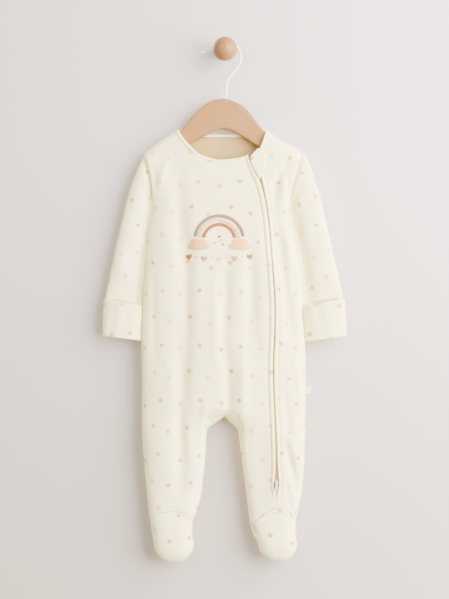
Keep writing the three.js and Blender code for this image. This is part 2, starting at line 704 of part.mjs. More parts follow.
// One back with both legs, open at the arched crotch seam.
function backPanel() {
  const legColumns = 6;
  const archColumns = ARCH_COLUMNS;
  const shoulderCount = 4;
  const columns = 2 * legColumns + archColumns;
  const neck = backNeck(columns - 2 * shoulderCount, BAND + SEAM + 0.3);
  const top = [];
  for (let i = 0; i < shoulderCount; i += 1) {
    const x = lerp(-113, neck[0].x, i / shoulderCount);
    top.push({ x, z: shoulderZ(x) - SEAM });
  }
  top.push(...neck);
  for (let i = 1; i <= shoulderCount; i += 1) {
    const x = lerp(neck[neck.length - 1].x, 104.6, i / shoulderCount);
    top.push({ x, z: shoulderZ(x) - SEAM });
  }
  const arch = gussetSeam(archColumns);
  const seat = [];
  for (let c = 0; c <= columns; c += 1) {
    if (c < legColumns) {
      seat.push({ x: lerp(bodyLeft(GUSSET.centreZ), arch[0].x, edgeSpacing(legColumns, c)), z: GUSSET.centreZ });
    } else if (c <= legColumns + archColumns) {
      seat.push({ ...arch[c - legColumns] });
    } else {
      const u = edgeSpacing(legColumns, c - legColumns - archColumns);
      seat.push({ x: lerp(arch[archColumns].x, bodyRight(GUSSET.centreZ), u), z: GUSSET.centreZ });
    }
  }
  const chest = seat.map((place, c) => {
    const low = (place.x - seat[0].x) / (seat[columns].x - seat[0].x);
    return { x: lerp(bodyLeft(CHEST_LINE), bodyRight(CHEST_LINE), lerp(c / columns, low, 0.45)), z: CHEST_LINE };
  });
  const rows = [
    ...fillRows(top, chest, YOKE_ROWS, bodyLeft, bodyRight, YOKE_CROWDING),
    ...fillRows(chest, seat, 8, bodyLeft, bodyRight).slice(1),
  ];
  const grid = rows.map((row) => row.map((place) => backPoint(place.x, place.z)));
  const legRows = LEG_ROWS;
  const heelRow = (side) => {
    const [from, to] = legEdges(side, ANKLE_LINE);
    return Array.from({ length: legColumns + 1 }, (_, i) => ({
      x: lerp(from, to, edgeSpacing(legColumns, i)), z: ANKLE_LINE,
    }));
  };
  const leftInner = (z) => panelInner('left', z);
  const rightInner = (z) => panelInner('right', z);
  const leftTop = seat.slice(0, legColumns + 1);
  const rightTop = seat.slice(legColumns + archColumns);
  const left = fillRows(leftTop, heelRow('left'), legRows, bodyLeft, leftInner, LEG_CROWDING);
  const right = fillRows(rightTop, heelRow('right'), legRows, rightInner, bodyRight, LEG_CROWDING);
  for (let r = 1; r <= legRows; r += 1) {
    const row = new Array(columns + 1).fill(null);
    left[r].forEach((place, c) => { row[c] = backPoint(place.x, place.z); });
    right[r].forEach((place, c) => { row[legColumns + archColumns + c] = backPoint(place.x, place.z); });
    grid.push(row);
  }
  const outward = new THREE.Vector3(0, 1, 0);
  return sheetSolid(shiftFromSeams(grid, SEAM / 2), CLOTH, { outward, flatten: onSideSeam });
}

// Saddle between the legs, from the front seam under the ridge to the back seam.
function crotchGusset() {
  const count = ARCH_COLUMNS + 4;
  const acrossCount = 6;
  const panelSeam = gussetSeam(count, 0, GUSSET.endAngle);
  const seam = gussetSeam(count, CLOTH + SEAM, GUSSET.endAngle);
  const ridge = along(GUSSET_RIDGE, 0, 1, count);
  const grid = seam.map((place, i) => {
    const edge = panelSeam[i];
    const front = new THREE.Vector3(place.x, Math.min(-reach('front', edge.x, edge.z), -MID - 1.2), place.z);
    const back = new THREE.Vector3(place.x, Math.max(-reach('back', edge.x, edge.z), -MID + 1.2), place.z);
    const under = new THREE.Vector3(ridge[i].x, -MID, ridge[i].z);
    const row = [];
    for (let k = 0; k <= acrossCount; k += 1) {
      const s = k / acrossCount;
      row.push(new THREE.Vector3()
        .addScaledVector(front, (1 - s) * (1 - 2 * s))
        .addScaledVector(under, 4 * s * (1 - s))
        .addScaledVector(back, s * (2 * s - 1)));
    }
    return row;
  });
  return sheetSolid(grid, CLOTH, { outward: new THREE.Vector3(0, 0, -1) });
}

// One point of a flattened ring between its outer and inner edge points.
function ringPoint(out, inn, angle, front, back) {
  const c = Math.cos(angle);
  const s = Math.sin(angle);
  const half = Math.abs(s) ** 0.9;
  const y = s >= 0 ? -MID - front * half : -MID + back * half;
  return new THREE.Vector3((out.x + inn.x + (out.x - inn.x) * c) / 2, y, (out.z + inn.z + (out.z - inn.z) * c) / 2);
}

function sleeveFold(v, angle) {
  let depth = 0;
  for (const fold of SLEEVE_FOLDS) {
    const turn = Math.cos(angle - degToRad(fold.angle));
    const spread = (v - fold.at) / fold.width;
    depth += fold.height * Math.exp(-spread * spread) * Math.max(0, turn) ** 2;
  }
  return depth;
}

function sleeveRings(side) {
  const armhole = ARMHOLES[side];
  const edge = side === 'left' ? bodyLeft : bodyRight;
  const away = side === 'left' ? -1 : 1;
  const heightAt = (c) => lerp(armhole.bottom, armhole.top, (1 + c) / 2);
  const angles = Array.from({ length: RING_POINTS }, (_, i) => (2 * Math.PI * i) / RING_POINTS);
  const rings = [angles.map((angle) => {
    const z = heightAt(Math.cos(angle));
    const face = Math.sin(angle) >= 0 ? 'front' : 'back';
    const half = armholeHalf(armhole, face, z);
    return new THREE.Vector3(edge(z) + away * 0.8, face === 'front' ? -MID - half : -MID + half, z);
  })];
  SLEEVES[side].forEach((row, k) => {
    const v = (k + 1) / SLEEVES[side].length;
    const out = { x: row.outX, z: row.outZ };
    const inn = { x: edge(row.inZ) + away * row.tuck, z: row.inZ };
    rings.push(angles.map((angle) => {
      const fold = sleeveFold(v, angle);
      return ringPoint(out, inn, angle, row.swell + fold, row.swell + 0.8 + fold);
    }));
  });
  return rings;
}

function sleeve(side) {
  const rings = sleeveRings(side);
  const centres = rings.map((ring) => ring.reduce((sum, p) => sum.add(p), new THREE.Vector3())
    .divideScalar(ring.length));
  const outward = (point) => {
    const nearest = centres.reduce((a, b) => (a.distanceTo(point) < b.distanceTo(point) ? a : b));
    return point.clone().sub(nearest);
  };
  return sheetSolid(rings, CLOTH, { wrap: true, outward });
}

// Cuff turned back over the sleeve's end: thick below, one loose layer above.
function cuff(side) {
  const rows = CUFFS[side];
  const ring = (row, inset) => Array.from({ length: RING_POINTS }, (_, i) => {
    const angle = (2 * Math.PI * i) / RING_POINTS;
    const axis = new THREE.Vector2(row.inX - row.outX, row.inZ - row.outZ).normalize();
    const out = { x: row.outX + axis.x * inset, z: row.outZ + axis.y * inset };
    const inn = { x: row.inX - axis.x * inset, z: row.inZ - axis.y * inset };
    return ringPoint(out, inn, angle, row.swell - inset, row.swell - inset);
  });
  const thick = 2 * CUFF_CLOTH + 0.2;
  const ledge = { ...rows[1], outZ: rows[1].outZ - 1.5, inZ: rows[1].inZ - 1.5 };
  return ringWall([
    ring(rows[0], 0), ring(rows[1], 0), ring(rows[2], 0), ring(rows[3], 0),
    ring(rows[3], thick), ring(rows[2], thick), ring(ledge, thick + 0.6),
    ring(ledge, CUFF_CLOTH), ring(rows[0], CUFF_CLOTH),
  ]);
}

// Neck binding along a neckline, a little thicker than the panels and proud of them.
function frontBinding(table, count, crowding) {
  const rows = [0, BAND / 2, BAND].map((offset) => along(table, 0, 1, count, offset, crowding));
  const grid = rows.map((row) => row.map((place) => {
    const z = Math.min(place.z, shoulderZ(place.x) - SEAM);
    const point = frontPoint(place.x, z, 0.35);
    if (-point.y < MID + 1.6) point.y = -MID - SEAM;
    return point;
  }));
  return sheetSolid(grid, BAND_THICK, { flatten: (point) => -point.y < MID + 1.7 });
}

function backBinding() {
  const count = 12;
  const grid = [0, BAND / 2, BAND].map((offset) => backNeck(count, offset).map((place) => {
    const point = backPoint(place.x, place.z, 0.35);
    if (-point.y > MID - 1.6) point.y = -MID + SEAM;
    return point;
  }));
  const outward = new THREE.Vector3(0, 1, 0);
  return sheetSolid(grid, BAND_THICK, { outward, flatten: (point) => -point.y > MID - 1.7 });
}

// Half-moon facing inside the back neck.
function backFacing() {
  const count = 12;
  const top = backNeck(count, BAND + SEAM).slice(1, -1);
  const rows = [];
  for (let k = 0; k <= 6; k += 1) {
    rows.push(top.map((place, i) => {
      const s = (2 * (i + 1)) / count - 1;
      const low = lerp(place.z - 9, FACING_BOTTOM, Math.sqrt(1 - s * s));
      return backPoint(place.x, lerp(place.z, low, k / 6));
    }));
  }
  return sheetSolid(rows, 1, { outward: new THREE.Vector3(0, 1, 0), inset: CLOTH + 0.8 });
}

// Zip tape behind one edge of the opening.
function zipTape(side) {
  const rowCount = 26;
  const grid = [];
  for (let r = 0; r <= rowCount; r += 1) {
    const z = lerp(-158, -612, r / rowCount);
    const centre = (openingLeft(z) + openingRight(z)) / 2;
    const near = side === 'left' ? -0.15 : 0.15;
    const far = side === 'left' ? -TAPE_WIDTH : TAPE_WIDTH;
    grid.push([near, far / 2, far].map((offset) => frontPoint(centre + offset, z)));
  }
  return sheetSolid(grid, 1, { inset: CLOTH + 0.8 });
}

// Leaf-shaped guard over the top of the zip, which laps over the side panel.
function chinGuard() {
  const rowCount = 10;
  const columns = 6;
  const top = GUARD[0].z;
  const bottom = GUARD[GUARD.length - 1].z;
  const grid = [];
  for (let r = 0; r <= rowCount; r += 1) {
    const z = lerp(top, bottom, r / rowCount);
    const from = Math.max(guardLeft(z), openingLeft(z) + SEAM + 0.3);
    const to = guardRight(z);
    grid.push(Array.from({ length: columns + 1 }, (_, i) => frontPoint(lerp(from, to, i / columns), z, CLOTH + 0.3)));
  }
  return sheetSolid(grid, CLOTH);
}

// Upper of one foot, from the curved seam to the toe.
function footTop(side) {
  const xs = ankleColumns(side);
  const seam = footSeam(side, xs, SEAM + 0.3);
  const toe = toeEdge(side, xs.length - 1);
  const rows = fillRows(seam, toe, 6, (z) => legEdges(side, z)[0], (z) => legEdges(side, z)[1]);
  const grid = rows.map((row) => row.map((place) => frontPoint(place.x, place.z)));
  return sheetSolid(shiftFromSeams(grid, -SEAM / 2), CLOTH, { flatten: onSideSeam });
}

function footSole(side) {
  const columns = 8;
  const [from, to] = legEdges(side, ANKLE_LINE - SEAM);
  const heel = Array.from({ length: columns + 1 }, (_, i) => ({
    x: lerp(from, to, edgeSpacing(columns, i)), z: ANKLE_LINE - SEAM,
  }));
  const rows = fillRows(heel, toeEdge(side, columns), 5, (z) => legEdges(side, z)[0], (z) => legEdges(side, z)[1]);
  const grid = rows.map((row) => row.map((place) => backPoint(place.x, place.z)));
  const outward = new THREE.Vector3(0, 1, 0);
  return sheetSolid(shiftFromSeams(grid, SEAM / 2), CLOTH, { outward, flatten: onSideSeam });
}

function toeEdge(side, columns) {
  const toe = TOES[side];
  const places = [];
  for (let i = 0; i <= columns; i += 1) {
    const angle = degToRad(lerp(-78, 78, edgeSpacing(columns, i)));
    places.push({
      x: toe.centre + toe.half * Math.sin(angle),
      z: FOOT_CENTRE_LINE - (FOOT_CENTRE_LINE - toe.tip) * Math.cos(angle),
    });
  }
  return places;
}

// A raised patch that follows the front panel.
function patch(rows) {
  const grid = rows.map((row) => row.map((place) => frontPoint(place.x, place.z)));
  return sheetSolid(grid, DECORATION.thick, { inset: -DECORATION.thick - 0.4 });
}

function arcPatch(index) {
  const count = 14;
  const inner = DECORATION.inner + index * DECORATION.step;
  return patch([0, 1].map((k) => Array.from({ length: count + 1 }, (_, i) => {
    const angle = degToRad(lerp(172, 8, i / count));
    const radius = inner + k * DECORATION.width;
    return { x: DECORATION.x + radius * Math.cos(angle), z: DECORATION.z + radius * Math.sin(angle) };
  })));
}

function cloudPatch(cloud) {
  const count = 12;
  const puff = (s) => 0.28 + 0.72 * Math.sqrt(1 - (0.96 * s) ** 2) * (0.88 + 0.12 * Math.cos(s * 9));
  return patch([0, 0.5, 1].map((v) => Array.from({ length: count + 1 }, (_, i) => {
    const s = (2 * i) / count - 1;
    const low = cloud.z - cloud.height / 2 + 1.6 * s * s;
    const high = cloud.z - cloud.height / 2 + cloud.height * puff(s);
    return { x: cloud.x + (s * cloud.width) / 2, z: lerp(low, high, v) };
  })));
}

function sideLabel() {
  const edge = bodyRight(-472);
  const shape = new THREE.Shape();
  shape.moveTo(0, -5);
  shape.lineTo(6.4, -4.6);
  shape.lineTo(6.4, 4.6);
  shape.lineTo(0, 5);
  const geometry = new THREE.ExtrudeGeometry(shape, { depth: 1, bevelEnabled: false });
  geometry.rotateX(Math.PI / 2);
  geometry.translate(edge + 0.4, -MID + 0.5, -472);
  return geometry;
}

const wasm = await Module();
wasm.setup();

function toManifold(geometry) {
  const bare = geometry.clone();
  bare.deleteAttribute('normal');
  bare.deleteAttribute('uv');
  const merged = mergeVertices(bare, 1e-4);
  const indices = merged.index ? merged.index.array : merged.attributes.position.array.map((_, i) => i);
  return new wasm.Manifold(new wasm.Mesh({
    numProp: 3,
    vertProperties: new Float32Array(merged.attributes.position.array),
    triVerts: new Uint32Array(indices),
  }));
}

function fromManifold(solid) {
  const mesh = solid.getMesh();
  const geometry = new THREE.BufferGeometry();
  geometry.setAttribute('position', new THREE.Float32BufferAttribute(mesh.vertProperties, 3));
  geometry.setIndex([...mesh.triVerts]);
  return geometry;
}

const sliderMiddle = (SLIDER.top + SLIDER.bottom) / 2;
const sliderFace = reach('front', SLIDER.x, sliderMiddle) + SLIDER.front;
const pinReach = sliderFace + 0.95;

// Slider body with a low bridge on its face, which the pull's bar passes under.
function zipSlider() {
  const half = SLIDER.width / 2;
  const bodyShape = new THREE.Shape();
  bodyShape.moveTo(-half, SLIDER.top - 2.4);
  bodyShape.quadraticCurveTo(-half, SLIDER.top, -half * 0.55, SLIDER.top);
  bodyShape.lineTo(half * 0.55, SLIDER.top);
  bodyShape.quadraticCurveTo(half, SLIDER.top, half, SLIDER.top - 2.4);
  bodyShape.lineTo(half * 0.72, SLIDER.bottom);
  bodyShape.lineTo(-half * 0.72, SLIDER.bottom);
  const bodyDepth = SLIDER.front + SLIDER.back;
  const upright = new THREE.ExtrudeGeometry(bodyShape, { depth: bodyDepth, bevelEnabled: false, curveSegments: 5 });
  upright.applyMatrix4(new THREE.Matrix4().set(
    1, 0, 0, SLIDER.x, 0, 0, -1, -sliderFace + bodyDepth, 0, 1, 0, 0, 0, 0, 0, 1,
  ));
  const reachOut = BRIDGE.reach;
  const span = BRIDGE.length / 2;
  const arch = new THREE.Shape();
  arch.moveTo(0.4, -span);
  arch.lineTo(-reachOut + 0.7, -span);
  arch.lineTo(-reachOut, -span + 0.7);
  arch.lineTo(-reachOut, span - 0.7);
  arch.lineTo(-reachOut + 0.7, span);
  arch.lineTo(0.4, span);
  const hole = new THREE.Path();
  const inner = span - BRIDGE.wall;
  hole.moveTo(0, inner);
  hole.lineTo(-reachOut + BRIDGE.wall, inner);
  hole.lineTo(-reachOut + BRIDGE.wall, -inner);
  hole.lineTo(0, -inner);
  arch.holes.push(hole);
  const bridge = new THREE.ExtrudeGeometry(arch, { depth: BRIDGE.width, bevelEnabled: false });
  bridge.applyMatrix4(new THREE.Matrix4().set(
    0, 0, 1, SLIDER.x - BRIDGE.width / 2, 1, 0, 0, -sliderFace, 0, 1, 0, BRIDGE.z, 0, 0, 0, 1,
  ));
  return fromManifold(toManifold(upright).add(toManifold(bridge)));
}

// Flat pull tab with a window, hanging on its top bar.
function zipPull() {
  const half = PULL.width / 2;
  const shape = new THREE.Shape();
  shape.moveTo(-half, PULL.bar / 2);
  shape.lineTo(-half, -PULL.length + half);
  shape.absarc(0, -PULL.length + half, half, Math.PI, 2 * Math.PI, false);
  shape.lineTo(half, PULL.bar / 2);
  const window = new THREE.Path();
  const gap = PULL.window / 2;
  window.moveTo(-gap, -PULL.bar / 2);
  window.lineTo(gap, -PULL.bar / 2);
  window.lineTo(gap, -PULL.bar / 2 - PULL.windowLength);
  window.lineTo(-gap, -PULL.bar / 2 - PULL.windowLength);
  shape.holes.push(window);
  const geometry = new THREE.ExtrudeGeometry(shape, { depth: PULL.thick, bevelEnabled: false, curveSegments: 10 });
  geometry.applyMatrix4(new THREE.Matrix4().set(
    1, 0, 0, SLIDER.x, 0, 0, -1, -pinReach + PULL.thick / 2, 0, 1, 0, BRIDGE.z, 0, 0, 0, 1,
  ));
  return geometry;
}

function woodenHanger() {
  const shape = new THREE.Shape();
  const outline = [...HANGER_TOP, ...HANGER_RIGHT];
  const curve = new THREE.CatmullRomCurve3(outline.map((p) => new THREE.Vector3(p.x, p.z, 0)), true, 'centripetal');
  curve.getPoints(58).slice(0, -1).forEach((p, i) => (i ? shape.lineTo(p.x, p.y) : shape.moveTo(p.x, p.y)));
  const round = 4.2;
  const geometry = new THREE.ExtrudeGeometry(shape, {
    depth: HANGER_THICK - 2 * round, bevelThickness: round, bevelSize: round, bevelOffset: -round, bevelSegments: 3,
  });
  geometry.rotateX(Math.PI / 2);
  geometry.translate(0, -MID + HANGER_THICK / 2 - round, 0);
  return geometry;
}

function hangerHook() {
  const path = new THREE.CatmullRomCurve3(HOOK.map((p) => new THREE.Vector3(p.x, -MID, p.z)));
  const ring = new THREE.Shape();
  ring.absarc(0, 0, WIRE, 0, 2 * Math.PI, false);
  return new THREE.ExtrudeGeometry(ring, { steps: 44, extrudePath: path, curveSegments: 4 });
}

function hookTip() {
  const geometry = new THREE.SphereGeometry(2.4, 12, 8);
  const end = HOOK[HOOK.length - 1];
  geometry.translate(end.x - 2.8, -MID, end.z + 0.1);
  return geometry;
}

function wallKnob() {
  const profile = [new THREE.Vector2(0, 0), new THREE.Vector2(KNOB.peg, 0)];
  const start = Math.asin(KNOB.peg / KNOB.ball);
  for (let i = 0; i <= 12; i += 1) {
    const angle = lerp(start, Math.PI, i / 12);
    profile.push(new THREE.Vector2(KNOB.ball * Math.sin(angle), KNOB.ballOut - KNOB.ball * Math.cos(angle)));
  }
  profile[profile.length - 1].x = 0;
  const geometry = new THREE.LatheGeometry(profile, 28);
  geometry.rotateX(Math.PI);
  return geometry;
}

add('front_main', frontMainPanel(), 'jersey');
add('front_side', frontSidePanel(), 'jersey');
add('back', backPanel(), 'jersey');
add('gusset', crotchGusset(), 'jersey');
for (const side of ['left', 'right']) {
  add(`sleeve_${side}`, sleeve(side), 'jersey');
  add(`cuff_${side}`, cuff(side), 'jersey');
  add(`foot_top_${side}`, footTop(side), 'jersey');
  add(`foot_sole_${side}`, footSole(side), 'jersey');
  add(`zip_tape_${side}`, zipTape(side), 'tape', 0.7);
}
add('neck_binding_main', frontBinding(NECK_MAIN, 18, 1.5), 'binding');
add('neck_binding_side', frontBinding(NECK_SIDE, 7, 0.7), 'binding');
add('neck_binding_back', backBinding(), 'binding');
add('back_facing', backFacing(), 'marl');
add('chin_guard', chinGuard(), 'jersey');
add('side_label', sideLabel(), 'label', 0.6);
['sand', 'pink', 'taupe'].forEach((colour, i) => add(`applique_arc_${i + 1}`, arcPatch(i), colour, 0.8));
CLOUDS.forEach((cloud) => add(cloud.name, cloudPatch(cloud), 'label', 0.8));
add('zip_slider', zipSlider(), 'metal', 0.25, 1);
add('zip_pull', zipPull(), 'metal', 0.25, 1);
add('hanger_wood', woodenHanger(), 'beech', 0.55);
add('hanger_hook', hangerHook(), 'wire', 0.4);
add('hook_tip', hookTip(), 'wire', 0.5);
add('wall_knob', wallKnob(), 'knob', 0.6);

export default suit;
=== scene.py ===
import math

import bpy
import numpy as np
from bpy.props import FloatProperty, FloatVectorProperty
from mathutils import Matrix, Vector


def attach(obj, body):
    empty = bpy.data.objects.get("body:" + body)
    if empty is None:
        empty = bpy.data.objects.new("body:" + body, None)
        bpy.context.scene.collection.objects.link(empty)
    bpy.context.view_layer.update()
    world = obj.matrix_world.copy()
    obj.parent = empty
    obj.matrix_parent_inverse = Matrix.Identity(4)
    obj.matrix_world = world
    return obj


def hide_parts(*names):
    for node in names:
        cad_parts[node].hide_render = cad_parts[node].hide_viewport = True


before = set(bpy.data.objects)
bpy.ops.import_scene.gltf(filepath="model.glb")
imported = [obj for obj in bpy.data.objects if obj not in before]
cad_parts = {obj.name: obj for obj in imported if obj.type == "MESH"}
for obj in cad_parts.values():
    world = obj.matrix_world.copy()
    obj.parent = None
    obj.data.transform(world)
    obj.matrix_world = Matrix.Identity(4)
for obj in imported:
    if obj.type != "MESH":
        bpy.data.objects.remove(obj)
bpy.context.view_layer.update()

bl_info = {
    "name": "Footed baby sleepsuit",
    "version": (1, 0, 0),
    "blender": (4, 5, 0),
    "location": "3D View > Sidebar > Sleepsuit",
    "description": "Builds a footed baby sleepsuit on a wooden hanger and a wall knob",
    "category": "Add Mesh",
}

MM = 0.001

# Places and sizes in millimetres: X to the right, Z up, the wall at y = 0 and the suit in front of it.
MID = 17.0
SEAM = 0.4
FOOT_REACH = 5.0
SHOULDER_ROUND = 11.0
CHEST_LINE = -215.0
SEAT_LINE = -540.2
ANKLE_LINE = -661.0
FOOT_CENTRE_LINE = -685.0
BAND = 4.5
WELT_WIDTH = 10.0
FOLD_DEPTH = 1.7
ZIP_TOP = -158.0
ZIP_END = -612.0
ROW_END = -617.0
STITCH_RIGHT = 6.0
COIL_END = -596.0
LABEL_LINE = -472.0
CLOTH_WALL = 1.5
LEG_START = 495.0
PANEL_CORNER = -149.6
SHOULDER_ENDS = (-113.0, 104.6)


def table(names, *rows):
    """Columns of numbers by name."""
    return {name: np.array([row[i] for row in rows], float) for i, name in enumerate(names.split())}


BODY = table(
    "z left right",
    (-142, -113.5, 104.5), (-150, -111.5, 102.5), (-168, -106, 98.5), (-188, -102.2, 93.5),
    (-207, -101.2, 90), (-219, -101.5, 88.8), (-235, -103.5, 90), (-255, -108, 95.6),
    (-276, -109.5, 99), (-305, -111, 103.5), (-341, -114.5, 107.2), (-382, -115.5, 109.2),
    (-414, -116.6, 111.6), (-458, -115.4, 112), (-508, -115.6, 111.6), (-542, -114.8, 111),
    (-576, -112.3, 110), (-606, -109.8, 107.6), (-639, -106.4, 101.6), (-657, -103.8, 98),
    (-670, -101.4, 97.6), (-685, -98.6, 99.9),
)
INSEAM = table(
    "z left right",
    (-500, -25, 18.5), (-540.2, -26.3, 19.9), (-555, -26.6, 21.4), (-597, -30.4, 27),
    (-625, -34.6, 30.6), (-643, -40.2, 33), (-660, -45.4, 35.6), (-672, -45.6, 39.5),
    (-685, -43.4, 46.3),
)
TOES = {
    "left": {"centre": -71, "half": 27.6, "tip": -711.4, "instep": 21},
    "right": {"centre": 73.1, "half": 26.8, "tip": -710, "instep": 25},
}
BULGE = table(
    "z front back",
    (-105, 9, 10.5), (-150, 11.5, 12), (-200, 16, 12), (-260, 21, 12), (-340, 22.5, 12),
    (-450, 22.5, 12), (-560, 20, 12), (-620, 18, 12), (-655, 19.5, 12.5), (-685, 19, 13),
)
SHOULDER = table(
    "x z",
    (-118, -148.5), (-113.5, -144.5), (-106, -137.2), (-90, -125), (-65.3, -109), (-45, -92),
    (-4, -70), (38, -92), (57.5, -109.8), (75.5, -122.9), (105, -138.6), (110, -143),
)
ARMHOLES = {
    "left": {"top": -144.5, "bottom": -207, "front": 8.5, "back": 11},
    "right": {"top": -139.5, "bottom": -219, "front": 8.5, "back": 11},
}
NECK_MAIN = table(
    "x z",
    (-65.3, -109), (-59.5, -118.8), (-51.4, -128.9), (-41.4, -139), (-30.7, -146),
    (-8.3, -151.8), (17.1, -149.4), (24.6, -147.5), (31.6, -144.7),
)
NECK_SIDE = table("x z", (47.6, -136.6), (51.6, -126.5), (54.6, -118), (57.5, -109.8))
BACK_NECK_DIP = 6.2
FACING_BOTTOM = -178.0
OPENING = table(
    "z left right",
    (-140, 30, 48.9), (-145.4, 31.8, 49), (-150.5, 33.6, 49.2), (-161.4, 37.6, 49.6),
    (-171, 42.4, 50), (-180, 47.2, 50.6), (-194, 52.1, 53.5), (-220, 57.3, 58.5),
    (-245, 60.6, 61.6), (-266, 62.4, 63.2), (-313, 65.9, 66.9), (-359, 68.4, 69.4),
    (-391, 68, 69), (-438, 66, 67.1), (-541, 69.4, 70.7), (-562, 69.8, 71.5),
    (-581, 69.6, 72.6), (-590, 69, 73.3), (-597, 68.2, 74.1), (-606, 68.5, 73.9),
    (-609.5, 69.9, 72.6), (-612, 71.1, 71.4), (-620, 70.9, 71.2), (-640, 70.3, 70.6),
)
STITCH_LEFT = table(
    "z away",
    (-140, 14.8), (-166, 11.8), (-187, 9.2), (-205, 8), (-388, 7.5), (-541, 7.1), (-583, 7.3),
    (-594, 8.6), (-602, 9), (-611, 7.4), (-618, 6.3), (-660, 6.3),
)
GUARD = table(
    "z left right",
    (-136.4, 45.6, 47.4), (-141.5, 40, 54), (-145.5, 36.6, 55.6), (-149.6, 34, 56.2), (-153, 34.6, 56.4),
    (-160, 37.2, 55.8), (-168, 41, 53.6), (-174, 44.4, 51), (-178.8, 46.8, 48.2),
)
SLEEVES = {
    "left": table(
        "out_x out_z in_z tuck swell",
        (-121.8, -165, -222, -1.5, 10), (-132.6, -194, -246, -1.5, 11), (-142.8, -235, -272, -1.5, 11),
        (-151, -270, -302, -1.2, 10.5), (-159.2, -308, -330, -0.8, 9.5), (-165.6, -340, -350, -0.4, 6.6),
        (-166.1, -361, -366, 2.8, 7.2),
    ),
    "right": table(
        "out_x out_z in_z tuck swell",
        (114.2, -149, -230, -1.5, 9), (122.5, -172, -243, -1.5, 10), (132, -202, -262, -1.5, 11),
        (140.7, -239, -284, -1.5, 11), (148.9, -276, -308, -1.2, 10.5), (157.1, -310.5, -334, -0.8, 9.5),
        (163.2, -339, -351, -0.4, 6.6),
        (164.3, -361, -367, 3.6, 7.2),
    ),
}
CUFFS = {
    "left": table(
        "out_x out_z in_x in_z swell",
        (-168.8, -346.5, -114.3, -355.5, 13.2), (-169.4, -361, -114.6, -367.5, 11.4),
        (-170, -379, -115.4, -386, 10.8), (-170.4, -395.5, -115.8, -402.5, 10.4),
    ),
    "right": table(
        "out_x out_z in_x in_z swell",
        (166.6, -345, 107.6, -355.5, 13.2), (167.4, -361, 108.6, -368.5, 11.4),
        (168.4, -379, 110, -388, 10.8), (169.2, -395.5, 111, -404, 10.4),
    ),
}
GUSSET = {"centre_x": -3.2, "centre_z": -526, "half_width": 27.6, "rise": 26, "end_angle": 33}
GUSSET_RIDGE = table(
    "x z",
    (-26, -539.5), (-23.3, -525.5), (-4.6, -511.6), (-0.8, -508.8), (3, -512), (17.6, -527.2), (20, -539.5),
)

# Folds and creases as strokes: a line, its width and its height, a trough being below 0.
FRONT_FOLDS = table(
    "x0 z0 x1 z1 width height",
    (-59, -430, -61, -610, 9, -3.7), (-55, -265, -58, -470, 12, -4.0),
    (-66, -175, -56, -305, 11, -2.8), (2, -290, -1, -430, 9, -2.6), (3, -425, 6, -525, 8, -3.0),
    (25, -410, 26, -510, 8, 1.8), (35, -265, 35, -400, 8, -2.2), (69.5, -184, 67, -232, 6, -1.6),
    (86, -154, 71, -186, 6, -1.8), (69, -228, 92, -398, 8, -3.0),
    (84, -545, 99, -612, 6, -2.2), (50, -535, 54, -635, 13, -1.4),
)
BACK_FOLDS = table(
    "x0 z0 x1 z1 width height",
    (-70, -180, -48, -330, 13, -2.2), (62, -175, 40, -310, 13, -2.2), (2, -300, -4, -470, 16, -1.8),
    (-74, -540, -68, -630, 11, -2), (70, -545, 62, -625, 11, -2),
)
FRONT_CREASES = table(
    "x0 z0 x1 z1 width height",
    (-99.6, -661, -98, -672, 1.8, -2.4), (38.6, -659, 43, -671.5, 2.3, -5.4),
    (-60, -470, -50, -560, 6, 1.4), (-26, -480, -34, -560, 5, 1.0), (24, -520, 30, -600, 5, 0.8),
    (-100, -300, -97, -430, 5, -0.9), (-62, -300, -58, -440, 7, 1.2), (-14, -320, -12, -430, 7, 1.0),
    (40, -300, 44, -430, 7, -0.8), (94, -300, 98, -340, 4, -0.8), (84, -250, 92, -300, 5, 1.0),
    (78, -160, 84, -215, 5, 1.3), (88, -180, 86, -226, 4, -1.4), (-80, -150, -92, -190, 5, 1.1),
    (-98, -165, -96, -200, 4, -1.0), (-50, -150, -20, -165, 6, 0.7), (-70, -640, -50, -655, 5, -0.8),
    (80, -470, 90, -540, 6, -1.2), (96, -430, 104, -480, 4, 0.8), (90, -536, 103, -585, 5, 0.9),
    (86, -600, 92, -650, 4, -1.0), (-36, -600, -44, -650, 4, -1.0),
)
BACK_CREASES = table(
    "x0 z0 x1 z1 width height",
    (-90, -160, -84, -210, 5, -1.2), (84, -160, 78, -215, 5, -1.2), (-30, -180, -24, -300, 8, 0.9),
    (30, -200, 26, -320, 8, 0.9), (-96, -300, -94, -430, 6, -0.9), (94, -300, 92, -430, 6, -0.9),
    (-40, -480, -52, -560, 6, -1.2), (36, -480, 50, -560, 6, -1.2), (-84, -560, -84, -640, 5, 0.9),
    (84, -560, 84, -640, 5, 0.9), (-50, -600, -52, -650, 5, -0.8), (52, -600, 52, -650, 5, -0.8),
)
SLEEVE_FOLDS = table(
    "at angle width height",
    (0.32, 75, 0.11, -1.8), (0.55, 120, 0.1, -1.6), (0.74, 60, 0.09, -1.4), (0.45, 260, 0.12, -1.5),
    (0.16, 140, 0.05, -1.2), (0.24, 165, 0.035, 0.9), (0.63, 35, 0.05, 0.8), (0.87, 110, 0.04, -0.8),
    (0.62, 235, 0.06, -1.2), (0.22, 215, 0.05, -1.2),
)

